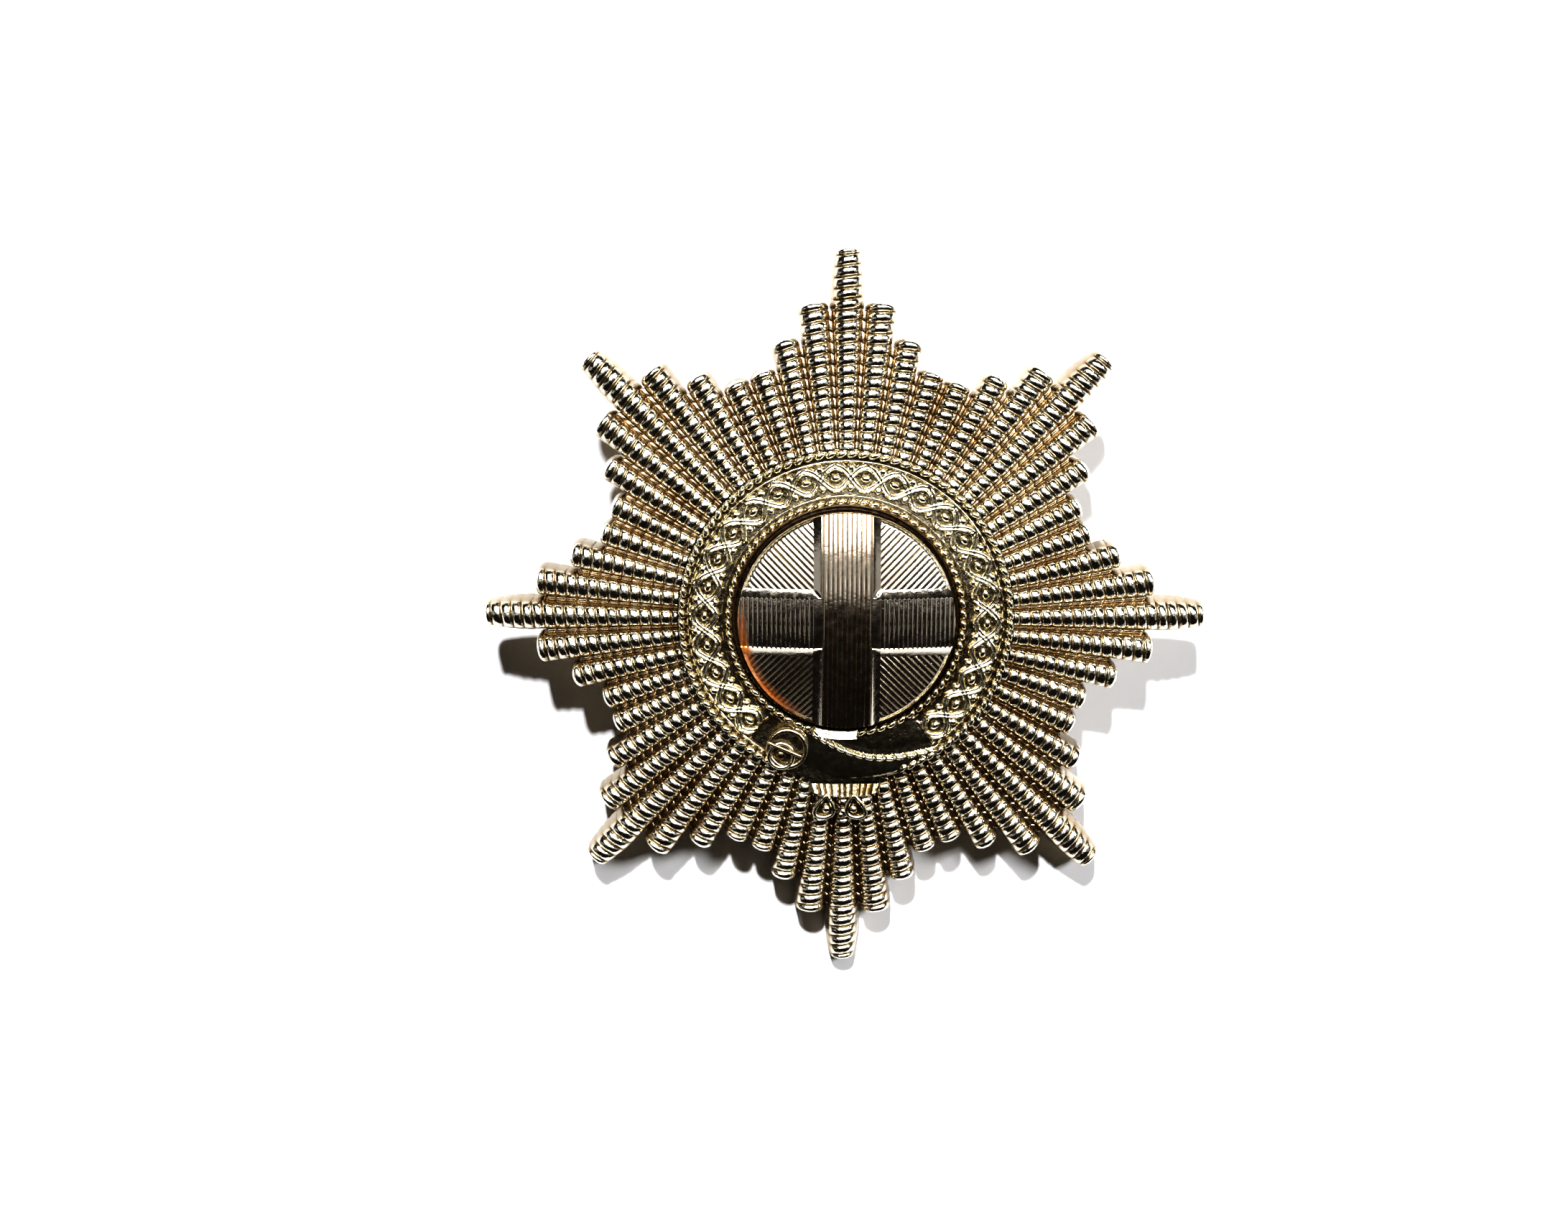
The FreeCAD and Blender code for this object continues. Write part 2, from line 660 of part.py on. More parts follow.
def make_split_pin():
    """Cotter pin through both lugs: two half-round legs and a round eye."""
    body = new_body("split_pin")
    start, neck = size("pin_leg_end_x"), size("pin_neck_x")
    section = new_sketch(body, "shank_section", "YZ_Plane", Placement(Vector(0, 0, start.value), Rotation()))
    bind(section, "AttachmentOffset.Base.z", start)
    draw_circle(section, 0, 0, size("pin_radius"))
    shank = pad(body, "shank", section, neck - start)
    document.recompute()
    ends = []
    for index, edge in enumerate(shank.Shape.Edges, start=1):
        if edge.BoundBox.XMax < start.value + 0.001:
            ends.append(f"Edge{index}")
    nose = body.newObject("PartDesign::Fillet", "nose")
    nose.Base = (shank, ends)
    bind(nose, "Radius", size("pin_end_round"))
    document.recompute()
    check_cut(shank, nose)

    slit_plan = new_sketch(body, "slit_plan", "XY_Plane", raised(-size("pin_radius") * 2))
    half = size("pin_slit_width") / 2
    tail = start - 1
    draw_outline(slit_plan, [(tail, -half), (size("pin_slit_end_x"), -half), (size("pin_slit_end_x"), half),
                             (tail, half)])
    slit = pocket_up(body, "slit", slit_plan, size("pin_radius") * 4)
    document.recompute()
    check_cut(nose, slit)

    eye_section = new_sketch(body, "eye_section", "XZ_Plane",
                             Placement(Vector(size("pin_eye_x").value, 0, 0), Rotation()))
    bind(eye_section, "AttachmentOffset.Base.x", size("pin_eye_x"))
    draw_circle(eye_section, size("pin_eye_radius"), 0, size("pin_eye_wire_radius"))
    revolve(body, "eye", eye_section)
    body.Placement = Placement(Vector(0, 0, size("lug_eye_z").value), Rotation())
    bind(body, "Placement.Base.z", size("lug_eye_z"))
    return body


def write_parts(bodies):
    """Check every object and every sub-part, then write one STEP file for each sub-part."""
    document.recompute()
    for item in document.Objects:
        if "Invalid" in item.State or "Error" in item.State:
            raise RuntimeError(f"{item.Name} failed: {item.State}")
    os.makedirs("parts", exist_ok=True)
    for body in bodies:
        shape = body.Shape
        if shape.isNull() or not shape.isValid():
            raise RuntimeError(f"{body.Label} has no valid shape")
        box = shape.BoundBox
        print(f"{body.Label}: {len(shape.Solids)} solid(s), {shape.Volume:.3f} mm3, "
              f"x {box.XMin:.2f}..{box.XMax:.2f} y {box.YMin:.2f}..{box.YMax:.2f} z {box.ZMin:.2f}..{box.ZMax:.2f}")
        shape.exportStep(f"parts/{body.Label}.step")


write_parts([
    make_star_plate(),
    make_belt_ring(),
    make_belt_rivets(),
    make_belt_buckle(),
    make_buckle_tongue(),
    make_belt_tail(),
    make_centre_disc(),
    make_centre_cross(),
    make_backing_plate(),
    make_lug("lug_west", -1),
    make_lug("lug_east", 1),
    make_split_pin(),
])
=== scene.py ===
import math

import bpy
import numpy as np
from mathutils import Matrix, Vector


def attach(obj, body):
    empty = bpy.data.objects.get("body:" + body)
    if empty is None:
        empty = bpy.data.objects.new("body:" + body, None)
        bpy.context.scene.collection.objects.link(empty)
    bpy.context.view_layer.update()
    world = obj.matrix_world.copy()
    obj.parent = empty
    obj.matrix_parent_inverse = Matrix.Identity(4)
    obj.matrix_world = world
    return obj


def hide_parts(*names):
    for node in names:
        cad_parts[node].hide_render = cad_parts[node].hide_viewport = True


# Lengths are in millimetres in the row frame; MM turns them into Blender's metres at the end.
MM = 0.001
TURN = 2 * math.pi

# The star: 56 rays in groups of seven, each ray a string of beads.
RAY_COUNT = 56
RAY_TIPS = [22.0, 18.95, 17.1, 15.65, 15.65, 17.1, 18.95]
RAY_BEADS = [18, 13, 10, 8, 8, 10, 13]
RAY_GROUP = len(RAY_TIPS)
MOST_BEADS = max(RAY_BEADS)
HALF_SECTOR = math.pi / RAY_COUNT
BEAD_ROOT = 10.5
BEAD_PITCH = 0.645
BEAD_STEPS = 8
RAY_STEPS = 12
RAY_HALF_ANGLE = 0.046
VALLEY_PLACES = [0.12, 0.3, 0.47, 0.66, 0.85]
RAY_START = 10.12
RAY_CEILING = 1.56
CREASE_DEPTH = 0.45
ROPE_SLANT = 0.12
STAR_BACK = -1.0
RECESS_RADIUS = 12.6
REBATE_RADIUS = 7.5
STAR_HOLE = 5.6
MIDDLE_RADII = [STAR_HOLE, 5.75, 7.2, REBATE_RADIUS, 7.53, 9.0, 10.0, RAY_START]
MIDDLE_HEIGHTS = [0.7, 0.75, 0.75, 0.75, 0.75, 0.75, 0.75, 0.78]
LEAD_RADII = [RAY_START + 0.02, 10.2, 10.3, 10.38, 10.45]
# The flat middle's and the sides' tints towards the deep colour are painted shade.
MIDDLE_HOLLOW = 0.8
SIDE_HOLLOW = 0.8

# The belt face.
BELT_INNER = 6.75
BELT_OUTER = 10.1
BELT_SEAT = 0.75
BELT_FLOOR = 1.62
BELT_TOP = 1.98
INNER_ROW = 7.02
OUTER_ROW = 9.85
INNER_BEADS = 68
OUTER_BEADS = 96
EYE_START = 217.0
EYE_END = 506.0
EYE_STEP = 12.04
BAND_MIDDLE = 8.46
BAND_SCALE = 8.55
STRAND_SWING = 0.68
STRAND_HALF = 0.24
RELIEF_HEIGHT = 0.38
INNER_RIDGE = 7.38
OUTER_RIDGE = 9.42
INNER_HALF = 0.23
OUTER_HALF = 0.24
BEAD_HEIGHT = 0.38
STRAP_BEADS = 92

# The rivets, the buckle and the strap's hanging end.
RIVET_CIRCLE = 8.55
BUCKLE_PLACE = (-3.5, -7.87)
BOSS_PLACE = (-3.86, -8.28)
TONGUE_START = np.array([-4.72, -7.43, 2.3])
TONGUE_END = np.array([-2.55, -8.35, 2.4])
TAIL_HALF = 2.3
TAIL_TOP = -9.86
TAIL_FOOT = -10.95
PLEAT_PITCH = 0.42
CURL_MIDDLE = -0.27
CURL_APART = 0.93
CURL_Y = -11.56
SEED_PLACES = [(-1.12, -11.7), (0.56, -11.72)]
PLATE_PLACES = [(-1.16, -11.6), (0.62, -11.6)]
PELLET_PLACE = (-0.23, -12.12)

# The centre.
DOME_RADIUS = 23.56
DOME_CREST = 3.5
DISC_RADIUS = 6.45
CROSS_HALF = 2.0
CROSS_TOP_HALF = 1.52
CROSS_THICK = 0.26
CROSS_REACH = 6.44
CROSS_CEILING = 3.94
RULE_PITCH = 0.28

# The back.
LUG_X = 10.2
LUG_LOOP = 1.3
LUG_WIRE = 0.49
PIN_Z = -2.75
PIN_START = -13.98
PIN_NECK = 13.0
PIN_SPRING = 0.06
PIN_RADIUS = 0.69
EYE_PLACE = 15
EYE_RADIUS = 1.35
EYE_WIRE = 0.5

# The scene.
CAMERA_PLACE = (-4.1, 16.9, 103.4)
CAMERA_ANGLES = (9.26, 0.22, -0.11)
CAMERA_LENS = 39.58
FLOOR_TILT = 9.23
FLOOR_PIVOT = (0.0, -22.0, -1.0)
FLOOR_HALF = 3000.0
LIGHT_DISTANCE = 0.5
ROOM_COLOUR = (0.013, 0.0105, 0.009, 1)


# ---------------------------------------------------------------- mesh building

def add_piece(name, body, points, faces, material, sharp=40, tints=None):
    """A mesh piece that rides on a CAD body, smooth but for its sharp edges."""
    mesh = bpy.data.meshes.new(name)
    mesh.from_pydata((np.asarray(points) * MM).tolist(), [], [list(f) for f in faces])
    mesh.validate()
    mesh.shade_smooth()
    mesh.set_sharp_from_angle(angle=math.radians(sharp))
    for label, values in (tints or {}).items():
        layer = mesh.attributes.new(label, "FLOAT", "POINT")
        layer.data.foreach_set("value", np.full(len(points), values, np.float32))
    mesh.materials.append(material)
    piece = bpy.data.objects.new(name, mesh)
    bpy.context.scene.collection.objects.link(piece)
    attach(piece, body)
    return piece


def loft(rings, wrap):
    """Joins rings of points in turn. The shell is closed by wrapping round, or by a fan at each end."""
    rings = np.asarray(rings, float)
    rows, count = rings.shape[:2]
    points = rings.reshape(-1, 3)
    index = np.arange(rows * count).reshape(rows, count)
    after = np.roll(index, -1, axis=1)
    last = rows if wrap else rows - 1
    faces = []
    for i in range(last):
        k = (i + 1) % rows
        faces.append(np.stack([index[i], after[i], after[k], index[k]], axis=1))
    faces = np.concatenate(faces).tolist()
    if not wrap:
        ends = np.array([rings[0].mean(axis=0), rings[-1].mean(axis=0)])
        points = np.concatenate([points, ends])
        first, final = rows * count, rows * count + 1
        faces += [[first, int(after[0][c]), int(index[0][c])] for c in range(count)]
        faces += [[final, int(index[-1][c]), int(after[-1][c])] for c in range(count)]
    return points, faces


def turned(profile, segments):
    """A lathe shape: profile is (radius, height) pairs, run outwards along the underside first."""
    angle = np.arange(segments) * TURN / segments
    rings = [
        np.stack([r * np.cos(angle), r * np.sin(angle), np.full(segments, z)], axis=1)
        for r, z in profile
    ]
    return loft(rings, False)


def merge(*shells):
    """Several closed shells as one list of points and faces."""
    points, faces, start = [], [], 0
    for shell_points, shell_faces in shells:
        points.append(np.asarray(shell_points))
        faces += [[v + start for v in face] for face in shell_faces]
        start += len(shell_points)
    return np.concatenate(points), faces


def sheet_solid(top, middle, bottom, cells):
    """A solid between a top and a bottom grid of points, where cells says which squares exist."""
    rows, cols = top.shape[:2]
    count = rows * cols
    index = np.arange(count).reshape(rows, cols)
    after = np.roll(index, -1, axis=1)
    i, c = np.nonzero(cells)
    quad = np.stack([index[i, c], index[i + 1, c], after[i + 1, c], after[i, c]], axis=1)
    faces = [quad, quad[:, ::-1] + 2 * count]

    wide = np.zeros((rows + 1, cols), bool)
    wide[1:rows] = cells
    here, before = wide[1:], np.roll(wide[1:], 1, axis=1)
    inward = wide[:-1]
    edges = []
    i, c = np.nonzero(here & ~before)
    edges.append((index[i, c], index[i + 1, c]))
    i, c = np.nonzero(before & ~here)
    edges.append((index[i + 1, c], index[i, c]))
    i, c = np.nonzero(here & ~inward)
    edges.append((after[i, c], index[i, c]))
    i, c = np.nonzero(inward & ~here)
    edges.append((index[i, c], after[i, c]))
    for a, b in edges:
        faces.append(np.stack([b, a, a + count, b + count], axis=1))
        faces.append(np.stack([b + count, a + count, a + 2 * count, b + 2 * count], axis=1))
    faces = np.concatenate(faces)
    points = np.concatenate([g.reshape(-1, 3) for g in (top, middle, bottom)])
    used = np.unique(faces)
    place = np.zeros(len(points), int)
    place[used] = np.arange(len(used))
    return points[used], place[faces], used


def tube(path, radii, sides, closed=False, half_round=False):
    """A wire along a path, round or half round."""
    path = np.asarray(path, float)
    ahead = np.roll(path, -1, axis=0) - np.roll(path, 1, axis=0)
    if not closed:
        ahead[0] = path[1] - path[0]
        ahead[-1] = path[-1] - path[-2]
    ahead /= np.linalg.norm(ahead, axis=1)[:, None]
    up = np.array([0.0, 0.0, 1.0])
    side = np.cross(up, ahead)
    small = np.linalg.norm(side, axis=1) < 0.2
    side[small] = np.cross(np.array([1.0, 0.0, 0.0]), ahead[small])
    side /= np.linalg.norm(side, axis=1)[:, None]
    lift = np.cross(ahead, side)
    angle = np.arange(sides) * TURN / sides
    radii = np.broadcast_to(np.asarray(radii, float), (len(path),))
    across = np.cos(angle)
    if half_round:
        across = np.maximum(across, 0.0)
    rings = (
        path[:, None]
        + radii[:, None, None] * across[None, :, None] * side[:, None]
        + radii[:, None, None] * np.sin(angle)[None, :, None] * lift[:, None]
    )
    return loft(rings[::-1], closed)


def polar(radius, angle, height):
    """Grid points from radius, angle and height arrays."""
    radius, angle, height = np.broadcast_arrays(radius, angle, height)
    return np.stack([radius * np.cos(angle), radius * np.sin(angle), height], axis=-1)


def smooth_step(x, low, high):
    """0 below low, 1 above high, with an easy slope between."""
    t = np.clip((x - low) / (high - low), 0, 1)
    return t * t * (3 - 2 * t)


def bump_round(distance, radius):
    """A round-topped bump: 1 in the middle, 0 outside the radius."""
    return np.sqrt(np.clip(1 - (distance / radius) ** 2, 0, 1))


# ---------------------------------------------------------------- materials

class Nodes:
    """A short way to add and join shader nodes."""

    def __init__(self, material):
        self.tree = material.node_tree

    def add(self, kind, inputs=None, **settings):
        node = self.tree.nodes.new(kind)
        for key, value in settings.items():
            setattr(node, key, value)
        for key, value in (inputs or {}).items():
            if isinstance(value, bpy.types.NodeSocket):
                self.tree.links.new(value, node.inputs[key])
            else:
                node.inputs[key].default_value = value
        return node

    def noise(self, where, scale, detail=3.0, stretch=(1, 1, 1)):
        spread = self.add("ShaderNodeMapping", {"Vector": where, "Scale": stretch})
        return self.add(
            "ShaderNodeTexNoise",
            {"Vector": spread.outputs[0], "Scale": scale, "Detail": detail},
        ).outputs["Fac"]

    def ramp(self, value, low, high, out_low=0.0, out_high=1.0):
        return self.add(
            "ShaderNodeMapRange",
            {0: value, 1: low, 2: high, 3: out_low, 4: out_high},
        ).outputs[0]

    def math(self, operation, a, b=0.0):
        return self.add("ShaderNodeMath", {0: a, 1: b}, operation=operation).outputs[0]

    def mix(self, factor, a, b):
        node = self.add("ShaderNodeMix", data_type="RGBA")
        for key, value in ((0, factor), (6, a), (7, b)):
            if isinstance(value, bpy.types.NodeSocket):
                self.tree.links.new(value, node.inputs[key])
            else:
                node.inputs[key].default_value = value
        return node.outputs[2]


def plated_metal(
    name, bright, deep, roughness, rough_spread=0.08, bump=0.03, grain=None, film_rough=0.16
):
    """Bright gilt brass: a deeper colour and a dull film in the hollows, the colour partly tarnish and partly
    painted shade, with fine pits and a coppery patch that is a painted warm reflection.
    """
    material = bpy.data.materials.new(name)
    material.use_nodes = True
    nodes = Nodes(material)
    shader = material.node_tree.nodes["Principled BSDF"]
    where = nodes.add("ShaderNodeTexCoord").outputs["Object"]
    patches = nodes.noise(where, 260, 4)
    fine = nodes.noise(where, 2600, 3)
    pits = nodes.noise(where, 7000, 2)
    # The recess attribute darkens the colour towards the deep one in creases and hollows: painted shade,
    # mixed with the gilt's own tarnish there.
    depth = nodes.add("ShaderNodeAttribute", attribute_name="recess").outputs["Fac"]
    tarnish_and_shade = nodes.math("MULTIPLY", depth, nodes.ramp(patches, 0.3, 0.7, 0.7, 1.0))
    colour = nodes.mix(tarnish_and_shade, bright, deep)
    stain = nodes.math("MULTIPLY", nodes.ramp(patches, 0.52, 0.72), 0.25)
    colour = nodes.mix(stain, colour, deep)
    # A coppery orange mixed in on the centre's rim: a painted warm reflection, made rougher there too.
    wear_and_warm_reflection = nodes.add("ShaderNodeAttribute", attribute_name="wear_and_warm_reflection").outputs["Fac"]
    wear_and_warm_reflection = nodes.math("MULTIPLY", wear_and_warm_reflection, nodes.ramp(patches, 0.3, 0.6, 0.55, 1.0))
    colour = nodes.mix(wear_and_warm_reflection, colour, (0.62, 0.22, 0.06, 1))
    rough = nodes.ramp(fine, 0.3, 0.7, roughness - rough_spread / 2, roughness + rough_spread / 2)
    rough = nodes.math("ADD", rough, nodes.math("MULTIPLY", tarnish_and_shade, film_rough))
    rough = nodes.math("ADD", rough, nodes.math("MULTIPLY", wear_and_warm_reflection, 0.25))
    height = nodes.math("ADD", nodes.math("MULTIPLY", fine, 0.7), nodes.math("MULTIPLY", pits, 0.3))
    if grain:
        drawn = nodes.noise(where, 900, 2, grain)
        height = nodes.math("ADD", height, nodes.math("MULTIPLY", drawn, 0.8))
    relief = nodes.add(
        "ShaderNodeBump", {"Height": height, "Strength": 1.0, "Distance": bump * MM}
    )
    links = material.node_tree.links
    links.new(colour, shader.inputs["Base Color"])
    links.new(rough, shader.inputs["Roughness"])
    links.new(relief.outputs[0], shader.inputs["Normal"])
    shader.inputs["Metallic"].default_value = 1.0
    return material


def table_paper():
    """The plain pale floor."""
    material = bpy.data.materials.new("pale_floor")
    material.use_nodes = True
    nodes = Nodes(material)
    shader = material.node_tree.nodes["Principled BSDF"]
    where = nodes.add("ShaderNodeTexCoord").outputs["Object"]
    fibres = nodes.noise(where, 120, 4)
    colour = nodes.mix(fibres, (0.86, 0.86, 0.88, 1), (0.9, 0.9, 0.91, 1))
    rough = nodes.ramp(fibres, 0.3, 0.7, 0.85, 0.95)
    material.node_tree.links.new(colour, shader.inputs["Base Color"])
    material.node_tree.links.new(rough, shader.inputs["Roughness"])
    shader.inputs["Specular IOR Level"].default_value = 0.1
    return material


# ---------------------------------------------------------------- the star

def bead_radii(start, end):
    """The radii of one bead's rows, closer together at the creases."""
    turn = np.arange(1, BEAD_STEPS + 1) * math.pi / BEAD_STEPS
    return start + (end - start) * (1 - np.cos(turn)) / 2


def ray_half_width(kind, radius):
    """Half the width of a ray's beads. The long ray narrows beyond its neighbours."""
    wide = RAY_HALF_ANGLE * radius
    if kind == 0:
        beyond = np.interp(radius, [17.0, 19.0, 20.0, 21.0, 22.0], [0.79, 0.87, 0.88, 0.8, 0.66])
        wide = np.where(radius > 17.0, beyond, wide)
    return wide


def ray_flank(kind, radius):
    """How far the sloping side of a ray reaches beyond its beads at the back."""
    gap = (math.pi / RAY_COUNT - RAY_HALF_ANGLE) * radius
    if kind == 0:
        free = np.interp(radius, [10.5, 17.5, 19.0, 20.5, 22.0], [0.12, 0.15, 0.24, 0.18, 0.1])
        room = np.interp(radius, [18.2, 18.9], [0.0, 0.5])
        return np.minimum(free, 0.9 * gap + room)
    return np.minimum(0.3, 0.9 * gap)


def rope_slant(radius, tip):
    """How far a bead's two sides are set along the ray, like the strands of a rope."""
    full = ROPE_SLANT * RAY_HALF_ANGLE * radius
    return full * smooth_step(radius, 10.5, 11.6) * smooth_step(-radius, -tip + 0.05, -tip + 0.8)


def ray_base(radius):
    """The height of a ray's foot, falling towards the tips."""
    return 1.14 - 0.108 * (radius - BEAD_ROOT)


def star_back(radius, across):
    """The back of the star: a rebate, the flat recess, a step, then shallow flutes to the rim."""
    height = np.where(radius <= REBATE_RADIUS + 0.01, 0.3, 0.0)
    step = smooth_step(radius, RECESS_RADIUS, RECESS_RADIUS + 0.25)
    flute = 0.32 * (1 - across**2) * smooth_step(radius, 12.9, 13.6)
    return height + step * (STAR_BACK + flute * smooth_step(-radius, -15.2, -14.2))


def star_columns():
    """The places of the star's columns across a ray, -1 to 1, and through the valley after it, 0 to 2."""
    across = -np.cos(np.arange(RAY_STEPS + 1) * math.pi / RAY_STEPS)
    inner = np.array(VALLEY_PLACES)
    valley = np.concatenate([inner, [1.0], (2 - inner[::-1])])
    return across, valley


def bead_start(number):
    """The radius where a ray's bead starts."""
    return BEAD_ROOT + BEAD_PITCH * number


def bead_profile(place):
    """The height of a bead along its ray, 1 on its crest and lower at its creases."""
    return (1 - CREASE_DEPTH) + CREASE_DEPTH * np.sqrt(np.clip(1 - place**2, 0, 1))


class StarRows:
    """The rows of the star's grid: the flat middle, the lead-in to the first bead, then the beads' rows."""

    def __init__(self):
        lead = np.array(LEAD_RADII)
        lead_place = 1 - 2 * (BEAD_ROOT - lead) / BEAD_PITCH
        bead_place = -np.cos(np.arange(1, BEAD_STEPS + 1) * math.pi / BEAD_STEPS)
        bead_rows = [bead_radii(bead_start(b), bead_start(b + 1)) for b in range(MOST_BEADS)]
        self.middle = len(MIDDLE_RADII)
        self.head = self.middle + len(lead) + 1
        self.count = self.head + MOST_BEADS * BEAD_STEPS
        self.radius = np.concatenate([MIDDLE_RADII, lead, [BEAD_ROOT], *bead_rows])
        middle_place = np.full(self.middle, -1.0)
        self.place = np.concatenate([middle_place, lead_place, [-1.0], *[bead_place] * MOST_BEADS])

    def end_of(self, beads):
        """The row that ends a ray with so many beads."""
        return self.head - 1 + BEAD_STEPS * beads

    def unevenness(self):
        """Each bead's own height against the rest, for every ray and row."""
        number = np.clip((np.arange(self.count) - self.head) // BEAD_STEPS + 1, 0, MOST_BEADS)
        uneven = np.random.default_rng(5).uniform(0.93, 1.06, (RAY_COUNT, MOST_BEADS + 1))[:, number]
        return 1 + (uneven - 1) * np.clip(1 - self.place**4, 0, 1)


class Ray:
    """One ray, row by row: its radii at the top and at the back, its beads and its half widths."""

    def __init__(self, rows, number, uneven):
        self.kind = number % RAY_GROUP
        self.tip = RAY_TIPS[self.kind]
        self.angle = TURN / 4 + number * TURN / RAY_COUNT
        self.last = rows.end_of(RAY_BEADS[self.kind])
        final = self.last - BEAD_STEPS
        start = bead_start(RAY_BEADS[self.kind] - 1)
        self.top = rows.radius.copy()
        self.back = rows.radius.copy()
        self.top[final + 1: self.last + 1] = bead_radii(start, self.tip - 0.12)
        self.back[final + 1: self.last + 1] = bead_radii(start, self.tip - 0.01)
        end = np.clip((np.arange(rows.count) - final) / BEAD_STEPS, 0, 1)
        end = (1 - np.cos(end * math.pi)) / 2
        close = np.sqrt(1 - 0.97 * np.clip((end - 0.4) / 0.6, 0, 1) ** 2)
        back_close = np.sqrt(1 - 0.93 * end**2.4)
        self.profile = bead_profile(rows.place)
        self.profile[final + BEAD_STEPS // 2: self.last + 1] = 1.0
        self.scallop = 0.93 + 0.07 * self.profile
        self.back_scallop = 0.9 + 0.1 * self.profile
        width = ray_half_width(self.kind, self.top)
        self.rise = 0.84 * width * self.profile * close * uneven
        self.half = width * close * self.scallop
        self.back_half = ray_half_width(self.kind, self.back) + ray_flank(self.kind, self.back)
        self.back_closed = self.back_half * back_close * self.back_scallop


class StarGrids:
    """The star's top and back as grids of points, which of their squares exist, and how dark each is tinted
    towards the deep colour, which paints shade in its creases, valleys and sides.
    """

    def __init__(self):
        self.rows = StarRows()
        self.across, self.valley = star_columns()
        self.sector = len(self.across) + len(self.valley)
        shape = (self.rows.count, self.sector * RAY_COUNT)
        self.top = np.zeros(shape + (3,))
        self.bottom = np.zeros(shape + (3,))
        self.hollow = np.zeros(shape)
        self.cells = np.zeros((shape[0] - 1, shape[1]), bool)
        uneven = self.rows.unevenness()
        for number in range(RAY_COUNT):
            ray = Ray(self.rows, number, uneven[number])
            self.place_ray(ray, number * self.sector)
            self.place_valley(ray, number * self.sector + len(self.across))

    def place_ray(self, ray, first):
        """Sets the columns that run along one ray's beads."""
        across = self.across[None]
        columns = slice(first, first + len(self.across))
        arch = np.clip(1 - np.abs(across) ** 2.1, 0, 1) ** 0.55
        z = np.minimum(ray_base(ray.top)[:, None] + ray.rise[:, None] * arch, RAY_CEILING)
        z[: self.rows.middle] = np.array(MIDDLE_HEIGHTS)[:, None]
        angle = ray.angle + (ray.half / ray.top)[:, None] * across
        slant = rope_slant(ray.top, ray.tip)
        self.top[:, columns] = polar(ray.top[:, None] - slant[:, None] * across, angle, z)
        back_angle = ray.angle + (ray.back_closed / ray.back)[:, None] * across
        back = star_back(ray.back[:, None], across)
        self.bottom[:, columns] = polar(ray.back[:, None], back_angle, back)
        # Darker in the creases between beads and at the beads' sides: painted shade, with some of the gilt's
        # tarnish.
        crease = (1 - ray.profile[:, None]) / CREASE_DEPTH
        self.hollow[:, columns] = np.clip(1.25 * crease**1.5 + 0.9 * np.abs(across) ** 6, 0, 1)
        self.hollow[: self.rows.middle, columns] = MIDDLE_HOLLOW
        self.cells[: ray.last, first: first + len(self.across) - 1] = True

    def place_valley(self, ray, first):
        """Sets the columns of the valley after a ray, with the thin ridge along its bottom."""
        radius = self.rows.radius[:, None]
        columns = slice(first, first + len(self.valley))
        other = (ray.kind + 1) % RAY_GROUP
        near = self.valley <= 1
        place = np.where(near, self.valley, 2 - self.valley)
        side = np.where(near, -1.0, 1.0)
        centre = ray.angle + HALF_SECTOR
        edge = np.where(near[None], (ray.half / ray.top)[:, None], RAY_HALF_ANGLE * ray.scallop[:, None])
        other_half = ray_half_width(other, ray.back) + ray_flank(other, ray.back)
        back_edge = np.where(
            near[None],
            (ray.back_half * ray.back_scallop / ray.back)[:, None],
            (other_half * ray.back_scallop / ray.back)[:, None],
        )
        angle = centre + side[None] * (HALF_SECTOR - edge) * (1 - place)[None]
        back_angle = centre + side[None] * (HALF_SECTOR - back_edge) * (1 - place)[None]
        beads = 0.55 + 0.45 * bead_profile(self.rows.place)
        ridge = bump_round(1 - place, 0.62)[None] * beads[:, None]
        z = ray_base(radius) - 0.42 * (1 - (1 - place[None]) ** 2) + 0.3 * ridge
        z[: self.rows.middle] = np.array(MIDDLE_HEIGHTS)[:, None]
        slant = rope_slant(radius, 99.0) * side[None] * (1 - place)[None]
        back = star_back(radius, np.ones((1, len(place))))
        self.top[:, columns] = polar(radius + slant, angle, z)
        self.bottom[:, columns] = polar(radius, back_angle, back)
        # The valley is tinted dark but on its ridge: painted shade.
        self.hollow[:, columns] = np.clip(1.0 - 0.35 * ridge, 0, 1)
        self.hollow[: self.rows.middle, columns] = MIDDLE_HOLLOW
        notch = self.rows.end_of(min(RAY_BEADS[ray.kind], RAY_BEADS[other]) - 1)
        self.cells[: notch, first - 1: first + len(place)] = True

    def middle(self):
        """A grid part of the way down the star's sides."""
        grid = self.bottom * 0.7 + self.top * 0.3
        grid[..., 2] = self.bottom[..., 2] * 0.55 + self.top[..., 2] * 0.45
        return grid


def make_star(metal):
    """The beaded star in one casting."""
    grids = StarGrids()
    points, faces, used = sheet_solid(grids.top, grids.middle(), grids.bottom, grids.cells)
    # The star's sides and back take a fixed dark tint: painted shade.
    side = np.full(grids.hollow.size, SIDE_HOLLOW)
    tint = np.concatenate([grids.hollow.ravel(), side, side])[used]
    star = add_piece("star", "badge", points, faces, metal, 50, {"recess": tint})
    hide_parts("star_plate")


# ---------------------------------------------------------------- the belt

def bead_row(radius, angle, centre, half, count, slant):
    """A string of round beads along a circle: 0 between them, 1 on their crests."""
    place = (radius - centre) / half
    along = 2 * ((angle * count / TURN + slant * place) % 1.0) - 1
    return bump_round(np.hypot(place, along), 1.0)


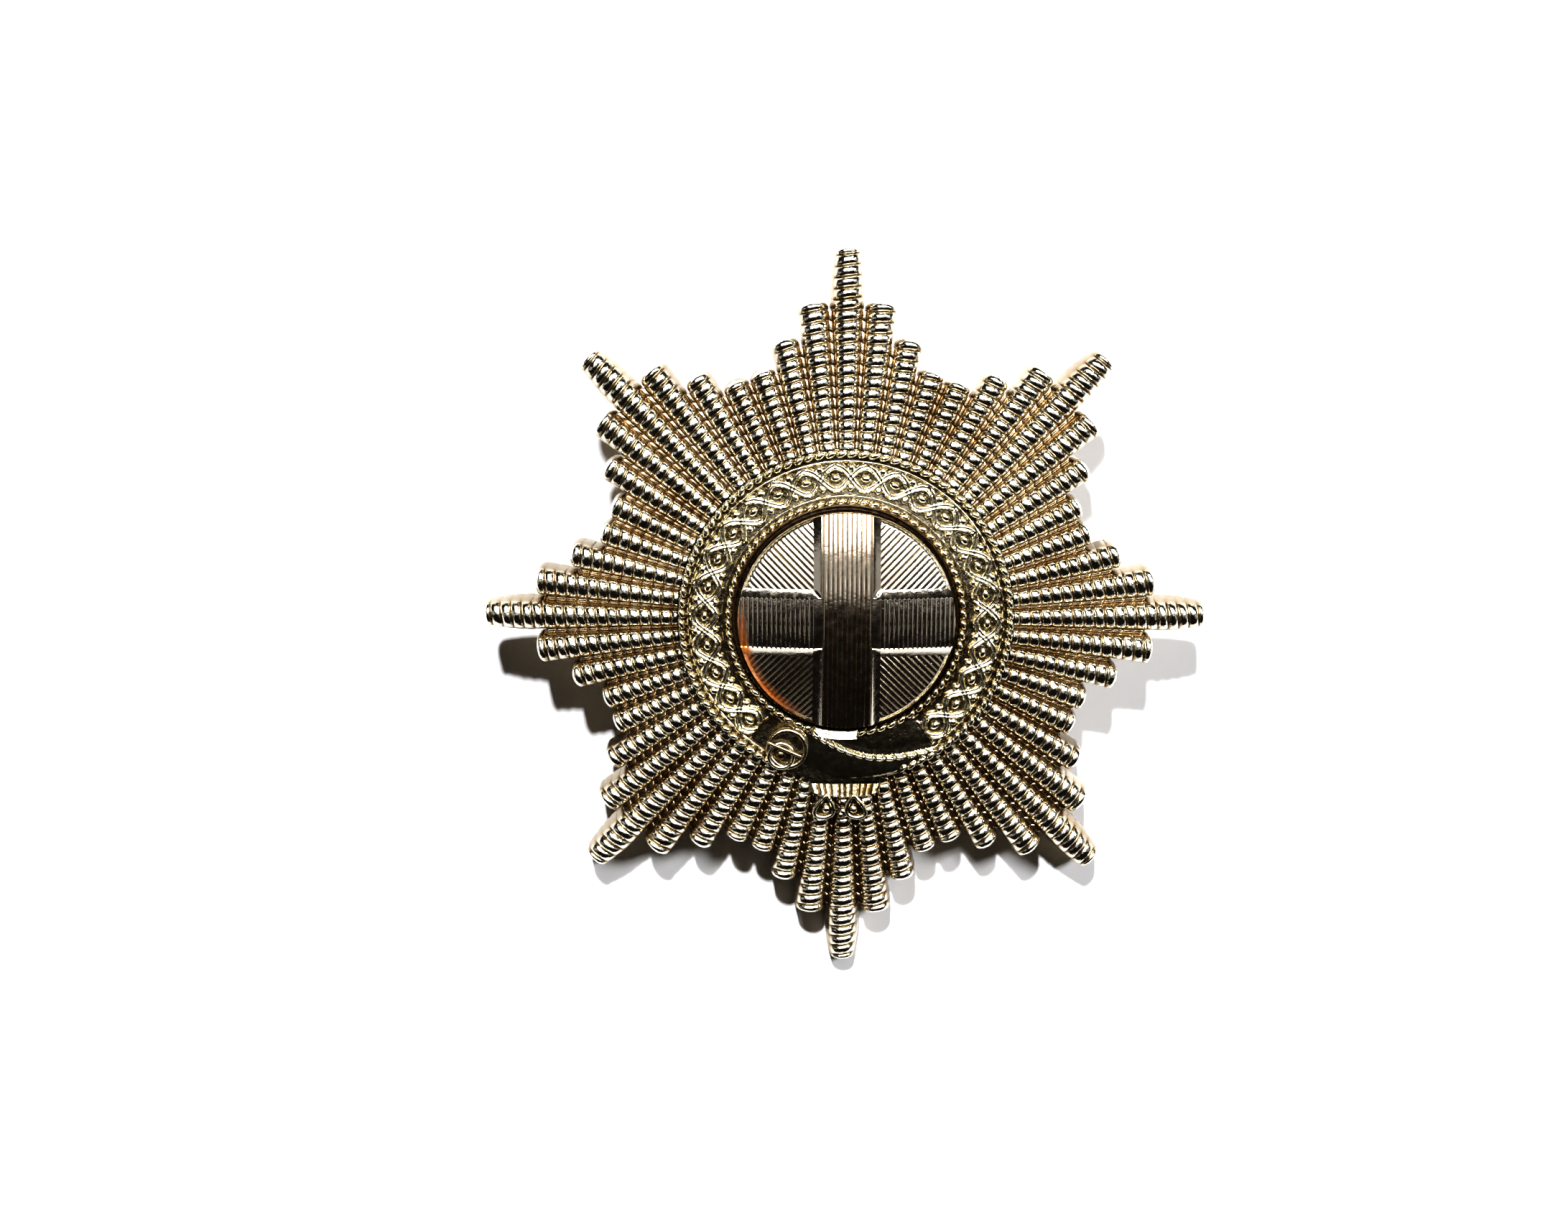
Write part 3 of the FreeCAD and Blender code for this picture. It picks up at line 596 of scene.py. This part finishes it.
def guilloche(radius, bearing):
    """A plain running band: two grooved strands that cross and part, with a boss in each eye."""
    unit = (bearing - EYE_START) / EYE_STEP
    place = unit - np.floor(unit) - 0.5
    x = place * BAND_SCALE * math.radians(EYE_STEP)
    y = radius - BAND_MIDDLE
    steepness = 0.62 * math.pi / (BAND_SCALE * math.radians(EYE_STEP))
    relief = np.zeros(np.broadcast(radius, bearing).shape)
    for hand in (-1, 1):
        swing = hand * STRAND_SWING * np.sin(unit * math.pi)
        lean = np.hypot(1, steepness * np.cos(unit * math.pi))
        off = (y - swing) / lean
        strand = bump_round(off, STRAND_HALF) * (1 - 0.45 * np.exp(-((off / 0.07) ** 2)))
        relief = np.maximum(relief, strand)
        pellet = np.hypot(np.abs(x) - 0.895, y * hand - 0.6)
        relief = np.maximum(relief, 0.85 * bump_round(pellet, 0.24))
    boss = np.hypot(x / 1.45, y)
    relief = np.maximum(relief, bump_round(boss, 0.25))
    count = (EYE_END - EYE_START) / EYE_STEP
    return relief * smooth_step(unit, 0.0, 0.2) * smooth_step(-unit, -count, 0.2 - count)


def strap_line(bearing):
    """The radius of the strap's beaded edge where it crosses from the inner row to the outer one."""
    return np.interp(
        bearing,
        [145, 150, 155, 160, 165, 170, 175, 180, 185, 190, 195, 200],
        [9.75, 9.5, 9.25, 9.08, 8.88, 8.66, 8.4, 8.1, 7.82, 7.55, 7.3, 7.05],
    )


def band_face(radius, bearing):
    """The belt's dished band with its relief and a fine ridge at each side: its height and how hollow."""
    long_bearing = np.where(bearing < EYE_START - 10, bearing + 360, bearing)
    inside = smooth_step(radius, 7.44, 7.52) * smooth_step(-radius, -9.42, -9.32)
    relief = guilloche(radius, long_bearing)
    dish = 0.05 * ((radius - BAND_SCALE) / 1.3) ** 2
    height = BELT_FLOOR - 0.04 + dish + RELIEF_HEIGHT * relief**0.75 * inside
    height = height + 0.13 * (bump_round(radius - OUTER_RIDGE, 0.09) + bump_round(radius - INNER_RIDGE, 0.07))
    edge = relief * inside
    # Darker round the foot of the relief and on the plain floor: painted shade.
    deep = np.where(edge > 0.01, np.clip(1.35 - 2.4 * edge, 0, 1), 0.65)
    return height, deep, edge


def strap_face(radius, angle, bearing, edge):
    """The strap's plain end, which crosses the band behind a beaded edge: its height and how hollow."""
    gap = radius - strap_line(bearing)
    beads = bump_round(((angle * STRAP_BEADS / TURN) % 1.0) * 2 - 1, 1.0)
    crossing = bump_round(gap, 0.19) * (0.35 + 0.65 * beads)
    plain = BELT_FLOOR + 0.2 - 0.08 * (gap / 1.2) ** 2 - 0.14 * smooth_step(radius, 9.7, 10.05)
    bare = BELT_FLOOR - 0.02 + 0.06 * smooth_step(-gap, 0.2, 1.2)
    height = np.where(gap > 0, plain, bare + 0.25 * edge * smooth_step(-bearing, -160, -150))
    height = np.maximum(height, BELT_FLOOR + 0.32 * crossing * (crossing > 0))
    # The strap is darker towards its outer edge and lighter on its beads: painted shade.
    deep = np.where(gap > 0, 0.1 + 0.55 * smooth_step(radius, 9.65, 9.75), 0.5)
    return height, deep * (1 - np.clip(1.4 * crossing, 0, 1))


def belt_face(radius, angle):
    """The height of the belt's face, and how hollow it lies, at each point."""
    bearing = (90.0 - np.degrees(angle)) % 360.0
    height, deep, edge = band_face(radius, bearing)
    strap = smooth_step(bearing, 143, 147) * smooth_step(-bearing, -206, -202)
    strap_height, strap_deep = strap_face(radius, angle, bearing, edge)
    height = height * (1 - strap) + strap_height * strap
    deep = deep * (1 - strap) + strap_deep * strap

    # The inner row of beads is worn to a smooth slope below the cross; the outer row stops at the strap.
    wear_and_warm_reflection = smooth_step(-np.abs(radius * np.cos(angle) + 0.55), -1.4, -1.25) * (np.sin(angle) < 0)
    inner = bead_row(radius, angle, INNER_ROW, INNER_HALF, INNER_BEADS, 0.2) * (1 - wear_and_warm_reflection)
    keep_outer = 1 - strap * smooth_step(bearing, 157, 163)
    outer = bead_row(radius, angle, OUTER_ROW, OUTER_HALF, OUTER_BEADS, 0.25) * keep_outer
    for row in (inner, outer):
        height = np.maximum(height, (BELT_FLOOR + BEAD_HEIGHT * row**0.8) * (row > 0))
    by_inner = np.abs(radius - INNER_ROW) < INNER_HALF + 0.03
    by_outer = (np.abs(radius - OUTER_ROW) < OUTER_HALF + 0.03) & (keep_outer > 0.5)
    # Dark in the gaps between beads: painted shade.
    deep = np.where(by_inner, 1 - np.clip(1.6 * inner, 0, 1), deep)
    deep = np.where(by_outer, 1 - np.clip(1.6 * outer, 0, 1), deep)

    slope = np.clip((radius - BELT_INNER - 0.1) / 0.55, 0, 1) * (radius < BELT_INNER + 0.65)
    height = np.maximum(height, (BELT_FLOOR + 0.08 + 0.17 * slope) * wear_and_warm_reflection * (slope > 0))
    deep = deep * (1 - wear_and_warm_reflection * (slope > 0))
    drop = smooth_step(np.abs(radius - (BELT_INNER + BELT_OUTER) / 2), 1.6, 1.675)
    return np.minimum(height - 0.25 * drop, BELT_TOP), np.clip(deep, 0, 1)


def make_belt(metal):
    """The belt round the centre, with beaded edges and a guilloche in place of its lettering."""
    columns = 1728
    angle = np.arange(columns) * TURN / columns
    radii = np.concatenate([
        np.linspace(BELT_INNER, 7.2, 12),
        np.linspace(7.26, 9.5, 46),
        np.linspace(9.54, BELT_OUTER, 14),
    ])
    height, deep = belt_face(radii[:, None], angle[None])
    top = polar(radii[:, None], angle[None], height)
    under = [
        (BELT_OUTER, 0.8), (BELT_OUTER - 0.05, BELT_SEAT), (7.46, BELT_SEAT), (7.45, 1.14),
        (7.4, 1.15), (BELT_INNER + 0.03, 1.15), (BELT_INNER, 1.2),
    ]
    low = np.array([polar(r, angle, z) for r, z in under])
    points, faces = loft(np.concatenate([low[::-1], top])[::-1], True)
    # The underside takes a fixed dark tint: painted shade.
    tint = np.concatenate([np.full((len(under), columns), 0.3), deep])[::-1].ravel()
    belt = add_piece("belt", "badge", points, faces, metal, 50, {"recess": tint})
    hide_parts("belt_ring")


def circle_path(centre, radius, height, count=48):
    """A closed round path."""
    angle = np.arange(count) * TURN / count
    x, y = centre[0] + radius * np.cos(angle), centre[1] + radius * np.sin(angle)
    return np.stack([x, y, np.full(count, height)], axis=1)


def moved(shell, place):
    """A shell shifted to a place on the face."""
    points, faces = shell
    return np.asarray(points) + np.array([place[0], place[1], 0]), faces


def make_buckle(metal):
    """The round buckle: a wire ring with a smaller ring and a boss in it, over a flat floor."""
    ring = tube(circle_path(BUCKLE_PLACE, 1.12, 2.14), 0.17, 14, True)
    small = tube(circle_path(BOSS_PLACE, 0.74, 2.24), 0.13, 14, True)
    floor = turned([(1.12, 1.7), (1.15, 1.78), (1.08, 1.95), (0.6, 1.96), (0.3, 1.96), (0.02, 1.96)], 48)
    boss = turned([(0.3, 1.9), (0.32, 2.05), (0.24, 2.14), (0.08, 2.18)], 24)
    points, faces = merge(ring, small, moved(floor, BUCKLE_PLACE), moved(boss, BOSS_PLACE))
    # Darker everywhere below the rings' tops: painted shade.
    deep = 1 - 0.8 * smooth_step(points[:, 2], 2.27, 2.36)
    buckle = add_piece("buckle", "badge", points, faces, metal, 40, {"recess": deep})
    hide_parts("belt_buckle")


def make_tongue(metal):
    """The buckle's tongue, a small bar with rounded ends across the buckle."""
    steps = np.linspace(0, 1, 14)
    path = TONGUE_START + (TONGUE_END - TONGUE_START) * steps[:, None]
    radii = 0.12 * np.sqrt(np.clip(1 - (2 * steps - 1) ** 8, 0.04, 1))
    points, faces = tube(path, radii, 12)
    # The tongue is tinted almost fully to the deep colour: painted shade.
    tongue = add_piece("tongue", "badge", points, faces, metal, 40, {"recess": 0.95})
    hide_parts("buckle_tongue")


def tail_loop(side):
    """One almond-shaped curl of the tail, as a closed wire path."""
    count = 56
    angle = np.arange(count) * TURN / count
    x = 0.86 * np.sin(angle) * (0.62 + 0.38 * np.cos(angle))
    y = 0.68 * np.cos(angle)
    lean = 0.16 * side
    centre = CURL_APART * side + CURL_MIDDLE
    return np.stack([centre + x * 0.95 + lean * y, CURL_Y - y, np.full(count, 1.8)], axis=1)


def pleated_band():
    """The band of fine pleats below the belt, bowed along its foot."""
    columns, rows = 161, 30
    x = np.linspace(-TAIL_HALF, TAIL_HALF, columns)
    y = np.linspace(TAIL_FOOT, TAIL_TOP, rows)
    across, down = np.meshgrid(x, y)
    waist = 1 - 0.08 * smooth_step(-down, 10.2, -TAIL_FOOT)
    bow = 0.06 * across**2 * smooth_step(-down, 10.0, -TAIL_FOOT)
    pleat = np.abs(np.sin(across * math.pi / PLEAT_PITCH + 0.3 * np.sin(across * 5))) ** 0.6
    band = smooth_step(-down, 10.1, 10.18)
    z = 1.6 + band * (0.08 + 0.12 * pleat)
    z = z - band * 0.3 * (down + 10.9)
    z = z - 0.25 * smooth_step(np.abs(across), 2.12, TAIL_HALF)
    top = np.stack([across * waist, down + bow, np.minimum(z, 2.13)], axis=-1)
    bottom = top.copy()
    bottom[..., 2] = 1.0
    middle = top * 0.5 + bottom * 0.5
    cells = np.zeros((rows - 1, columns), bool)
    cells[:, :-1] = True
    points, faces, _ = sheet_solid(top[::-1], middle[::-1], bottom[::-1], cells)
    return points, faces.tolist()


def make_tail(metal):
    """The strap's end below the belt: a pleated band, then two curls with a seed in each and a pellet."""
    loops = [tube(tail_loop(side), 0.14, 12, True) for side in (-1, 1)]
    seed = turned([(0.26, 1.5), (0.3, 1.7), (0.22, 1.88), (0.08, 1.96)], 24)
    plate = turned([(0.1, 1.5), (0.6, 1.5), (0.63, 1.58), (0.6, 1.66), (0.1, 1.66)], 32)
    pellet = turned([(0.1, 1.3), (0.24, 1.4), (0.27, 1.55), (0.2, 1.74), (0.08, 1.82)], 24)
    seeds = [moved(seed, place) for place in SEED_PLACES]
    plates = [moved(plate, place) for place in PLATE_PLACES]
    points, faces = merge(pleated_band(), *loops, *seeds, *plates, moved(pellet, PELLET_PLACE))
    # Darker the lower a point lies: painted shade.
    deep = 0.95 - 0.95 * smooth_step(points[:, 2], 1.72, 1.95)
    tail = add_piece("strap_tail", "badge", points, faces, metal, 45, {"recess": deep})
    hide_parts("belt_tail")


def make_rivets(metal):
    """Four small rivets that hold the belt to the star, set over at the back."""
    profile = [(0.1, 0.03), (0.26, 0.0), (0.37, 0.04), (0.4, 0.1), (0.4, 1.2), (0.36, 1.25), (0.1, 1.25)]
    rivet = turned(profile, 32)
    shells = []
    for quarter in range(4):
        angle = TURN / 8 + quarter * TURN / 4
        shells.append(moved(rivet, (RIVET_CIRCLE * math.cos(angle), RIVET_CIRCLE * math.sin(angle))))
    points, faces = merge(*shells)
    rivets = add_piece("rivets", "badge", points, faces, metal, 40, {"recess": 0.3})
    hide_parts("belt_rivets")


# ---------------------------------------------------------------- the centre

def dome(radius):
    """The height of the domed disc."""
    return DOME_CREST - DOME_RADIUS + np.sqrt(DOME_RADIUS**2 - radius**2)


def ruled(distance, pitch):
    """Fine rounded ruling: 0 in the cuts, 1 between them."""
    phase = (distance / pitch) % 1.0
    return np.abs(np.sin(phase * math.pi)) ** 0.34


def painted_warm_reflection(x, y):
    """Where a warm reflection is painted as a coppery colour: the rim of the centre at the left and lower
    left.
    """
    radius, angle = np.hypot(x, y), np.arctan2(y, x)
    side = smooth_step(np.cos(angle - math.radians(207)), 0.72, 0.93)
    return side * smooth_step(radius, 5.7, 6.15)


def make_disc(metal):
    """The domed disc under the cross, its quarters ruled towards the middle."""
    columns = 1440
    angle = np.arange(columns) * TURN / columns
    radii = np.concatenate([np.linspace(0.4, 2.6, 5), np.linspace(2.66, 6.3, 74), [6.36, 6.42, DISC_RADIUS]])
    x, y = radii[:, None] * np.cos(angle), radii[:, None] * np.sin(angle)
    across = np.where(x * y > 0, x - y, x + y) / math.sqrt(2)
    lines = ruled(across, 0.3)
    flat = smooth_step(-radii, -6.34, -6.2)[:, None]
    height = dome(radii)[:, None] - 0.075 + 0.09 * lines * flat
    rim = smooth_step(radii, 6.3, 6.45)[:, None]
    height = height - 0.12 * rim
    top = polar(radii[:, None], angle[None], height)
    wall = [
        (6.47, 2.2), (6.47, 1.2), (6.52, 1.15), (7.35, 1.15), (7.4, 1.1), (7.4, 0.8), (7.35, 0.75),
        (6.0, 0.75), (5.95, 0.8), (5.95, 2.0), (5.6, 2.35), (4.0, 2.65), (2.0, 2.85), (0.4, 2.95),
    ]
    lower = np.array([polar(r, angle, z) for r, z in wall])
    points, faces = loft(np.concatenate([top, lower])[::-1], False)
    # Darker in the ruling's cuts and on the walls: painted shade.
    face_tint = 0.4 + 0.6 * (1 - lines) * flat
    wall_tint = np.full((len(wall), columns), 0.9)
    tint = np.concatenate([np.concatenate([face_tint, wall_tint])[::-1].ravel(), [0.5, 0.5]])
    # The coppery patch, a painted warm reflection, only on the disc's raised face.
    wear_and_warm_reflection = painted_warm_reflection(points[:, 0], points[:, 1]) * (points[:, 2] > 2.3)
    tints = {"recess": tint, "wear_and_warm_reflection": wear_and_warm_reflection}
    disc = add_piece("disc", "badge", points, faces, metal, 60, tints)
    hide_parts("centre_disc")


def cross_height(x, y):
    """The cross's height over the dome, and how deep its ruling is cut there."""
    ax, ay = np.abs(x), np.abs(y)
    inside = np.maximum(CROSS_HALF - np.minimum(ax, ay), 0)
    bevel = CROSS_HALF - CROSS_TOP_HALF
    slope = np.clip(inside / bevel, 0, 1)
    face = smooth_step(inside, bevel - 0.02, bevel + 0.04)
    lip = 0.05 * bump_round(inside - bevel, 0.07)
    lines = ruled(x, RULE_PITCH)
    height = dome(np.minimum(np.hypot(x, y), DISC_RADIUS)) + CROSS_THICK * slope
    height = height + 0.07 * face * (lines - 1) + lip
    return np.minimum(height, CROSS_CEILING), face * (1 - lines)


def cross_coordinates(step):
    """Places along an arm, with lines exactly on the edges."""
    inner = np.arange(0, CROSS_TOP_HALF, step)
    slope = [CROSS_TOP_HALF - 0.02, CROSS_TOP_HALF, CROSS_TOP_HALF + 0.05, 1.76, 1.97, CROSS_HALF]
    outer = np.arange(CROSS_HALF + step, CROSS_REACH, step)
    half = np.unique(np.round(np.concatenate([inner, slope, outer, [CROSS_REACH]]), 4))
    return np.concatenate([-half[:0:-1], half])


def make_cross(metal):
    """The ruled cross over the disc. Its arms' ends are stretched to the disc's round rim."""
    x = cross_coordinates(0.04)
    y = cross_coordinates(0.16)
    along, across = np.meshgrid(y, x, indexing="ij")
    shortest = np.minimum(np.abs(across), np.abs(along))
    longest = np.maximum(np.abs(across), np.abs(along))
    upright = np.abs(along) >= np.abs(across)
    beyond = longest > CROSS_HALF
    arm = np.sqrt(CROSS_REACH**2 - shortest**2) - CROSS_HALF
    stretched = CROSS_HALF + (longest - CROSS_HALF) * arm / (CROSS_REACH - CROSS_HALF)
    scale = np.where(beyond, stretched, longest) / np.maximum(longest, 1e-9)
    along = np.where(upright & beyond, along * scale, along)
    across = np.where(~upright & beyond, across * scale, across)
    height, cut = cross_height(across, along)
    top = np.stack([across, along, height], axis=-1)
    bottom = top.copy()
    bottom[..., 2] = dome(np.minimum(np.hypot(across, along), 6.45)) - 0.12
    middle = top * 0.5 + bottom * 0.5
    centre_x, centre_y = (x[1:] + x[:-1]) / 2, (y[1:] + y[:-1]) / 2
    cells = np.zeros((len(y) - 1, len(x)), bool)
    cells[:, :-1] = np.minimum(np.abs(centre_x)[None], np.abs(centre_y)[:, None]) < CROSS_HALF
    points, faces, used = sheet_solid(top[::-1], middle[::-1], bottom[::-1], cells[::-1])
    # Darker in the ruling's cuts, with a fixed tint on the sides and underside: painted shade.
    hollow = np.concatenate([(0.2 + 0.8 * cut)[::-1].ravel(), np.full(cut.size * 2, 0.4)])[used]
    # The cross's arm ends take the same painted warm reflection.
    tints = {"recess": hollow, "wear_and_warm_reflection": painted_warm_reflection(points[:, 0], points[:, 1])}
    cross = add_piece("cross", "badge", points, faces, metal, 35, tints)
    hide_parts("centre_cross")


# ---------------------------------------------------------------- the back

def make_backing(metal):
    """The flat round plate that closes the centre at the back, with a rounded edge."""
    profile = [
        (0.3, 0.04), (2.0, 0.03), (5.6, 0.02), (6.0, 0.0), (7.35, 0.0), (7.47, 0.05),
        (7.5, 0.12), (7.5, 0.24), (7.44, 0.3), (5.5, 0.3), (0.3, 0.3),
    ]
    points, faces = turned(profile, 160)
    plate = add_piece("backing", "badge", points, faces, metal, 30, {"recess": 0.25})
    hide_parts("backing_plate")


def make_lug(name, node, side, metal):
    """A wire loop brazed into the back, with a fillet of braze round each leg."""
    legs = np.linspace(0.22, PIN_Z, 16)
    bend = np.linspace(0, math.pi, 25)[1:-1]
    x = LUG_X * side
    down = np.stack([np.full(16, x), np.full(16, LUG_LOOP), legs], axis=1)
    turn = np.stack([np.full(23, x), LUG_LOOP * np.cos(bend), PIN_Z - LUG_LOOP * np.sin(bend)], axis=1)
    up = down[::-1] * np.array([1, -1, 1])
    path = np.concatenate([down, turn, up])
    fillet = 0.3 * np.exp(-np.maximum(0.12 - path[:, 2], 0) / 0.16) * (path[:, 2] > -1.5)
    points, faces = tube(path, LUG_WIRE + fillet * (path[:, 2] < 0.1), 24)
    tint = 0.6 * np.exp(-np.abs(points[:, 2] + 0.1) / 0.5) + 0.15
    lug = add_piece(name, "badge", points, faces, metal, 40, {"recess": tint})
    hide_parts(node)


def make_pin(metal):
    """The split pin: one half-round wire folded into an eye and two legs that lie flat together."""
    mirror = np.array([1, -1, 1])
    eye = np.linspace(math.pi - 0.42, -math.pi + 0.42, 60)
    leg_x = np.linspace(PIN_START, PIN_NECK, 50)
    upper = np.stack([leg_x, np.full(50, PIN_SPRING), np.full(50, PIN_Z)], axis=1)
    eye_x, eye_y = EYE_PLACE + EYE_RADIUS * np.cos(eye), EYE_RADIUS * np.sin(eye)
    loop = np.stack([eye_x, eye_y, np.full(60, PIN_Z)], axis=1)
    neck = np.array([[PIN_NECK + 0.35, 0.18, PIN_Z]])
    path = np.concatenate([upper, neck, loop, neck * mirror, upper[::-1] * mirror])
    radii = np.full(len(path), PIN_RADIUS)
    radii[50:-50] = EYE_WIRE
    radii[:3] = [0.3, 0.5, 0.64]
    radii[-3:] = [0.64, 0.5, 0.3]
    points, faces = tube(path, radii, 24, half_round=True)
    pin = add_piece("pin_wire", "pin", points, faces, metal, 40, {"recess": 0.1})
    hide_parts("split_pin")


# ---------------------------------------------------------------- camera, floor and light

def floor_normal():
    """The table's upward direction in the row frame: the badge lies on its lower tip and its lugs."""
    tilt = math.radians(FLOOR_TILT)
    return Vector((0, math.sin(tilt), math.cos(tilt)))


def make_floor():
    """A plain pale table top."""
    mesh = bpy.data.meshes.new("floor")
    half = FLOOR_HALF * MM
    points = [(-half, -half, 0), (half, -half, 0), (half, half, 0), (-half, half, 0)]
    mesh.from_pydata(points, [], [(0, 1, 2, 3)])
    mesh.materials.append(table_paper())
    floor = bpy.data.objects.new("floor", mesh)
    bpy.context.scene.collection.objects.link(floor)
    turn = floor_normal().to_track_quat("Z", "Y").to_matrix().to_4x4()
    floor.matrix_world = Matrix.Translation(Vector(FLOOR_PIVOT) * MM) @ turn


def make_camera():
    """The camera at the photograph's place: straight over the table, a little off the badge's own axis."""
    data = bpy.data.cameras.new("camera")
    data.lens = CAMERA_LENS
    data.sensor_width = 36
    data.clip_start, data.clip_end = 0.005, 5
    camera = bpy.data.objects.new("camera", data)
    bpy.context.scene.collection.objects.link(camera)
    x, y, z = (math.radians(a) for a in CAMERA_ANGLES)
    turn = Matrix.Rotation(z, 3, "Z") @ Matrix.Rotation(y, 3, "Y") @ Matrix.Rotation(x, 3, "X")
    camera.matrix_world = Matrix.Translation(Vector(CAMERA_PLACE) * MM) @ turn.transposed().to_4x4()
    bpy.context.scene.camera = camera


def add_light(name, aim, size, power, glossy_only=False):
    """An area light that looks at the badge. aim is its direction, in degrees east and north of the axis."""
    data = bpy.data.lights.new(name, "AREA")
    data.shape = "RECTANGLE"
    data.size, data.size_y = size
    data.energy = power
    light = bpy.data.objects.new(name, data)
    east, north = (math.tan(math.radians(a)) for a in aim)
    away = Vector((east, north, 1)).normalized()
    light.location = away * LIGHT_DISTANCE
    light.rotation_mode = "QUATERNION"
    light.rotation_quaternion = away.to_track_quat("Z", "Y")
    light.visible_diffuse = not glossy_only
    bpy.context.scene.collection.objects.link(light)


def make_lights():
    """A small key beyond the top edge, a soft fill at the upper right, and panels that only reflect."""
    add_light("key", (-7, 44.5), (0.03, 0.03), 3.1)
    add_light("fill", (48, 30), (0.1, 0.1), 1.7)
    add_light("panel", (0, 37), (0.55, 0.38), 3.1, glossy_only=True)
    add_light("ceiling", (0, 8), (0.6, 0.17), 0.11, glossy_only=True)
    add_light("east", (62, -4), (0.2, 0.3), 0.06, glossy_only=True)
    add_light("west", (-62, -4), (0.2, 0.3), 0.06, glossy_only=True)
    add_light("lamp", (8.4, 2.9), (0.05, 0.05), 0.012, glossy_only=True)
    world = bpy.data.worlds.new("room")
    world.use_nodes = True
    world.node_tree.nodes["Background"].inputs[0].default_value = ROOM_COLOUR
    bpy.context.scene.world = world
    bpy.context.scene.view_settings.view_transform = "Standard"
    bpy.context.scene.view_settings.look = "High Contrast"


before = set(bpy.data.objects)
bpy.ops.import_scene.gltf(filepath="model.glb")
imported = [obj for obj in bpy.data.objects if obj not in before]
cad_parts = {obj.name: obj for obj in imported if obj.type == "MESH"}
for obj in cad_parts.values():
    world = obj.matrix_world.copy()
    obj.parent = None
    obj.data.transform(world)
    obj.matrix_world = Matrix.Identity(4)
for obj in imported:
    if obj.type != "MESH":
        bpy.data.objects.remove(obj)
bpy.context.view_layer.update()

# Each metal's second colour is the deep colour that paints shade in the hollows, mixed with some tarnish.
star_gilt = plated_metal("star_gilt", (0.86, 0.82, 0.69, 1), (0.27, 0.175, 0.07, 1), 0.12, bump=0.045)
belt_gilt = plated_metal(
    "belt_gilt", (0.88, 0.82, 0.63, 1), (0.15, 0.1, 0.04, 1), 0.13, bump=0.04, film_rough=0.1
)
disc_gilt = plated_metal("disc_gilt", (0.84, 0.78, 0.64, 1), (0.3, 0.2, 0.11, 1), 0.12, bump=0.01)
cross_gilt = plated_metal("cross_gilt", (0.84, 0.78, 0.66, 1), (0.3, 0.2, 0.12, 1), 0.1, bump=0.01)
back_brass = plated_metal("back_brass", (0.8, 0.66, 0.38, 1), (0.4, 0.25, 0.1, 1), 0.3, 0.15, 0.03)
pin_brass = plated_metal(
    "pin_brass", (0.82, 0.68, 0.4, 1), (0.4, 0.25, 0.1, 1), 0.26, 0.12, 0.02, (0.02, 1, 1)
)

make_star(star_gilt)
make_belt(belt_gilt)
make_buckle(belt_gilt)
make_tongue(belt_gilt)
make_tail(belt_gilt)
make_rivets(belt_gilt)
make_disc(disc_gilt)
make_cross(cross_gilt)
make_backing(back_brass)
make_lug("lug_loop_west", "lug_west", -1, back_brass)
make_lug("lug_loop_east", "lug_east", 1, back_brass)
make_pin(pin_brass)

make_floor()
make_camera()
make_lights()
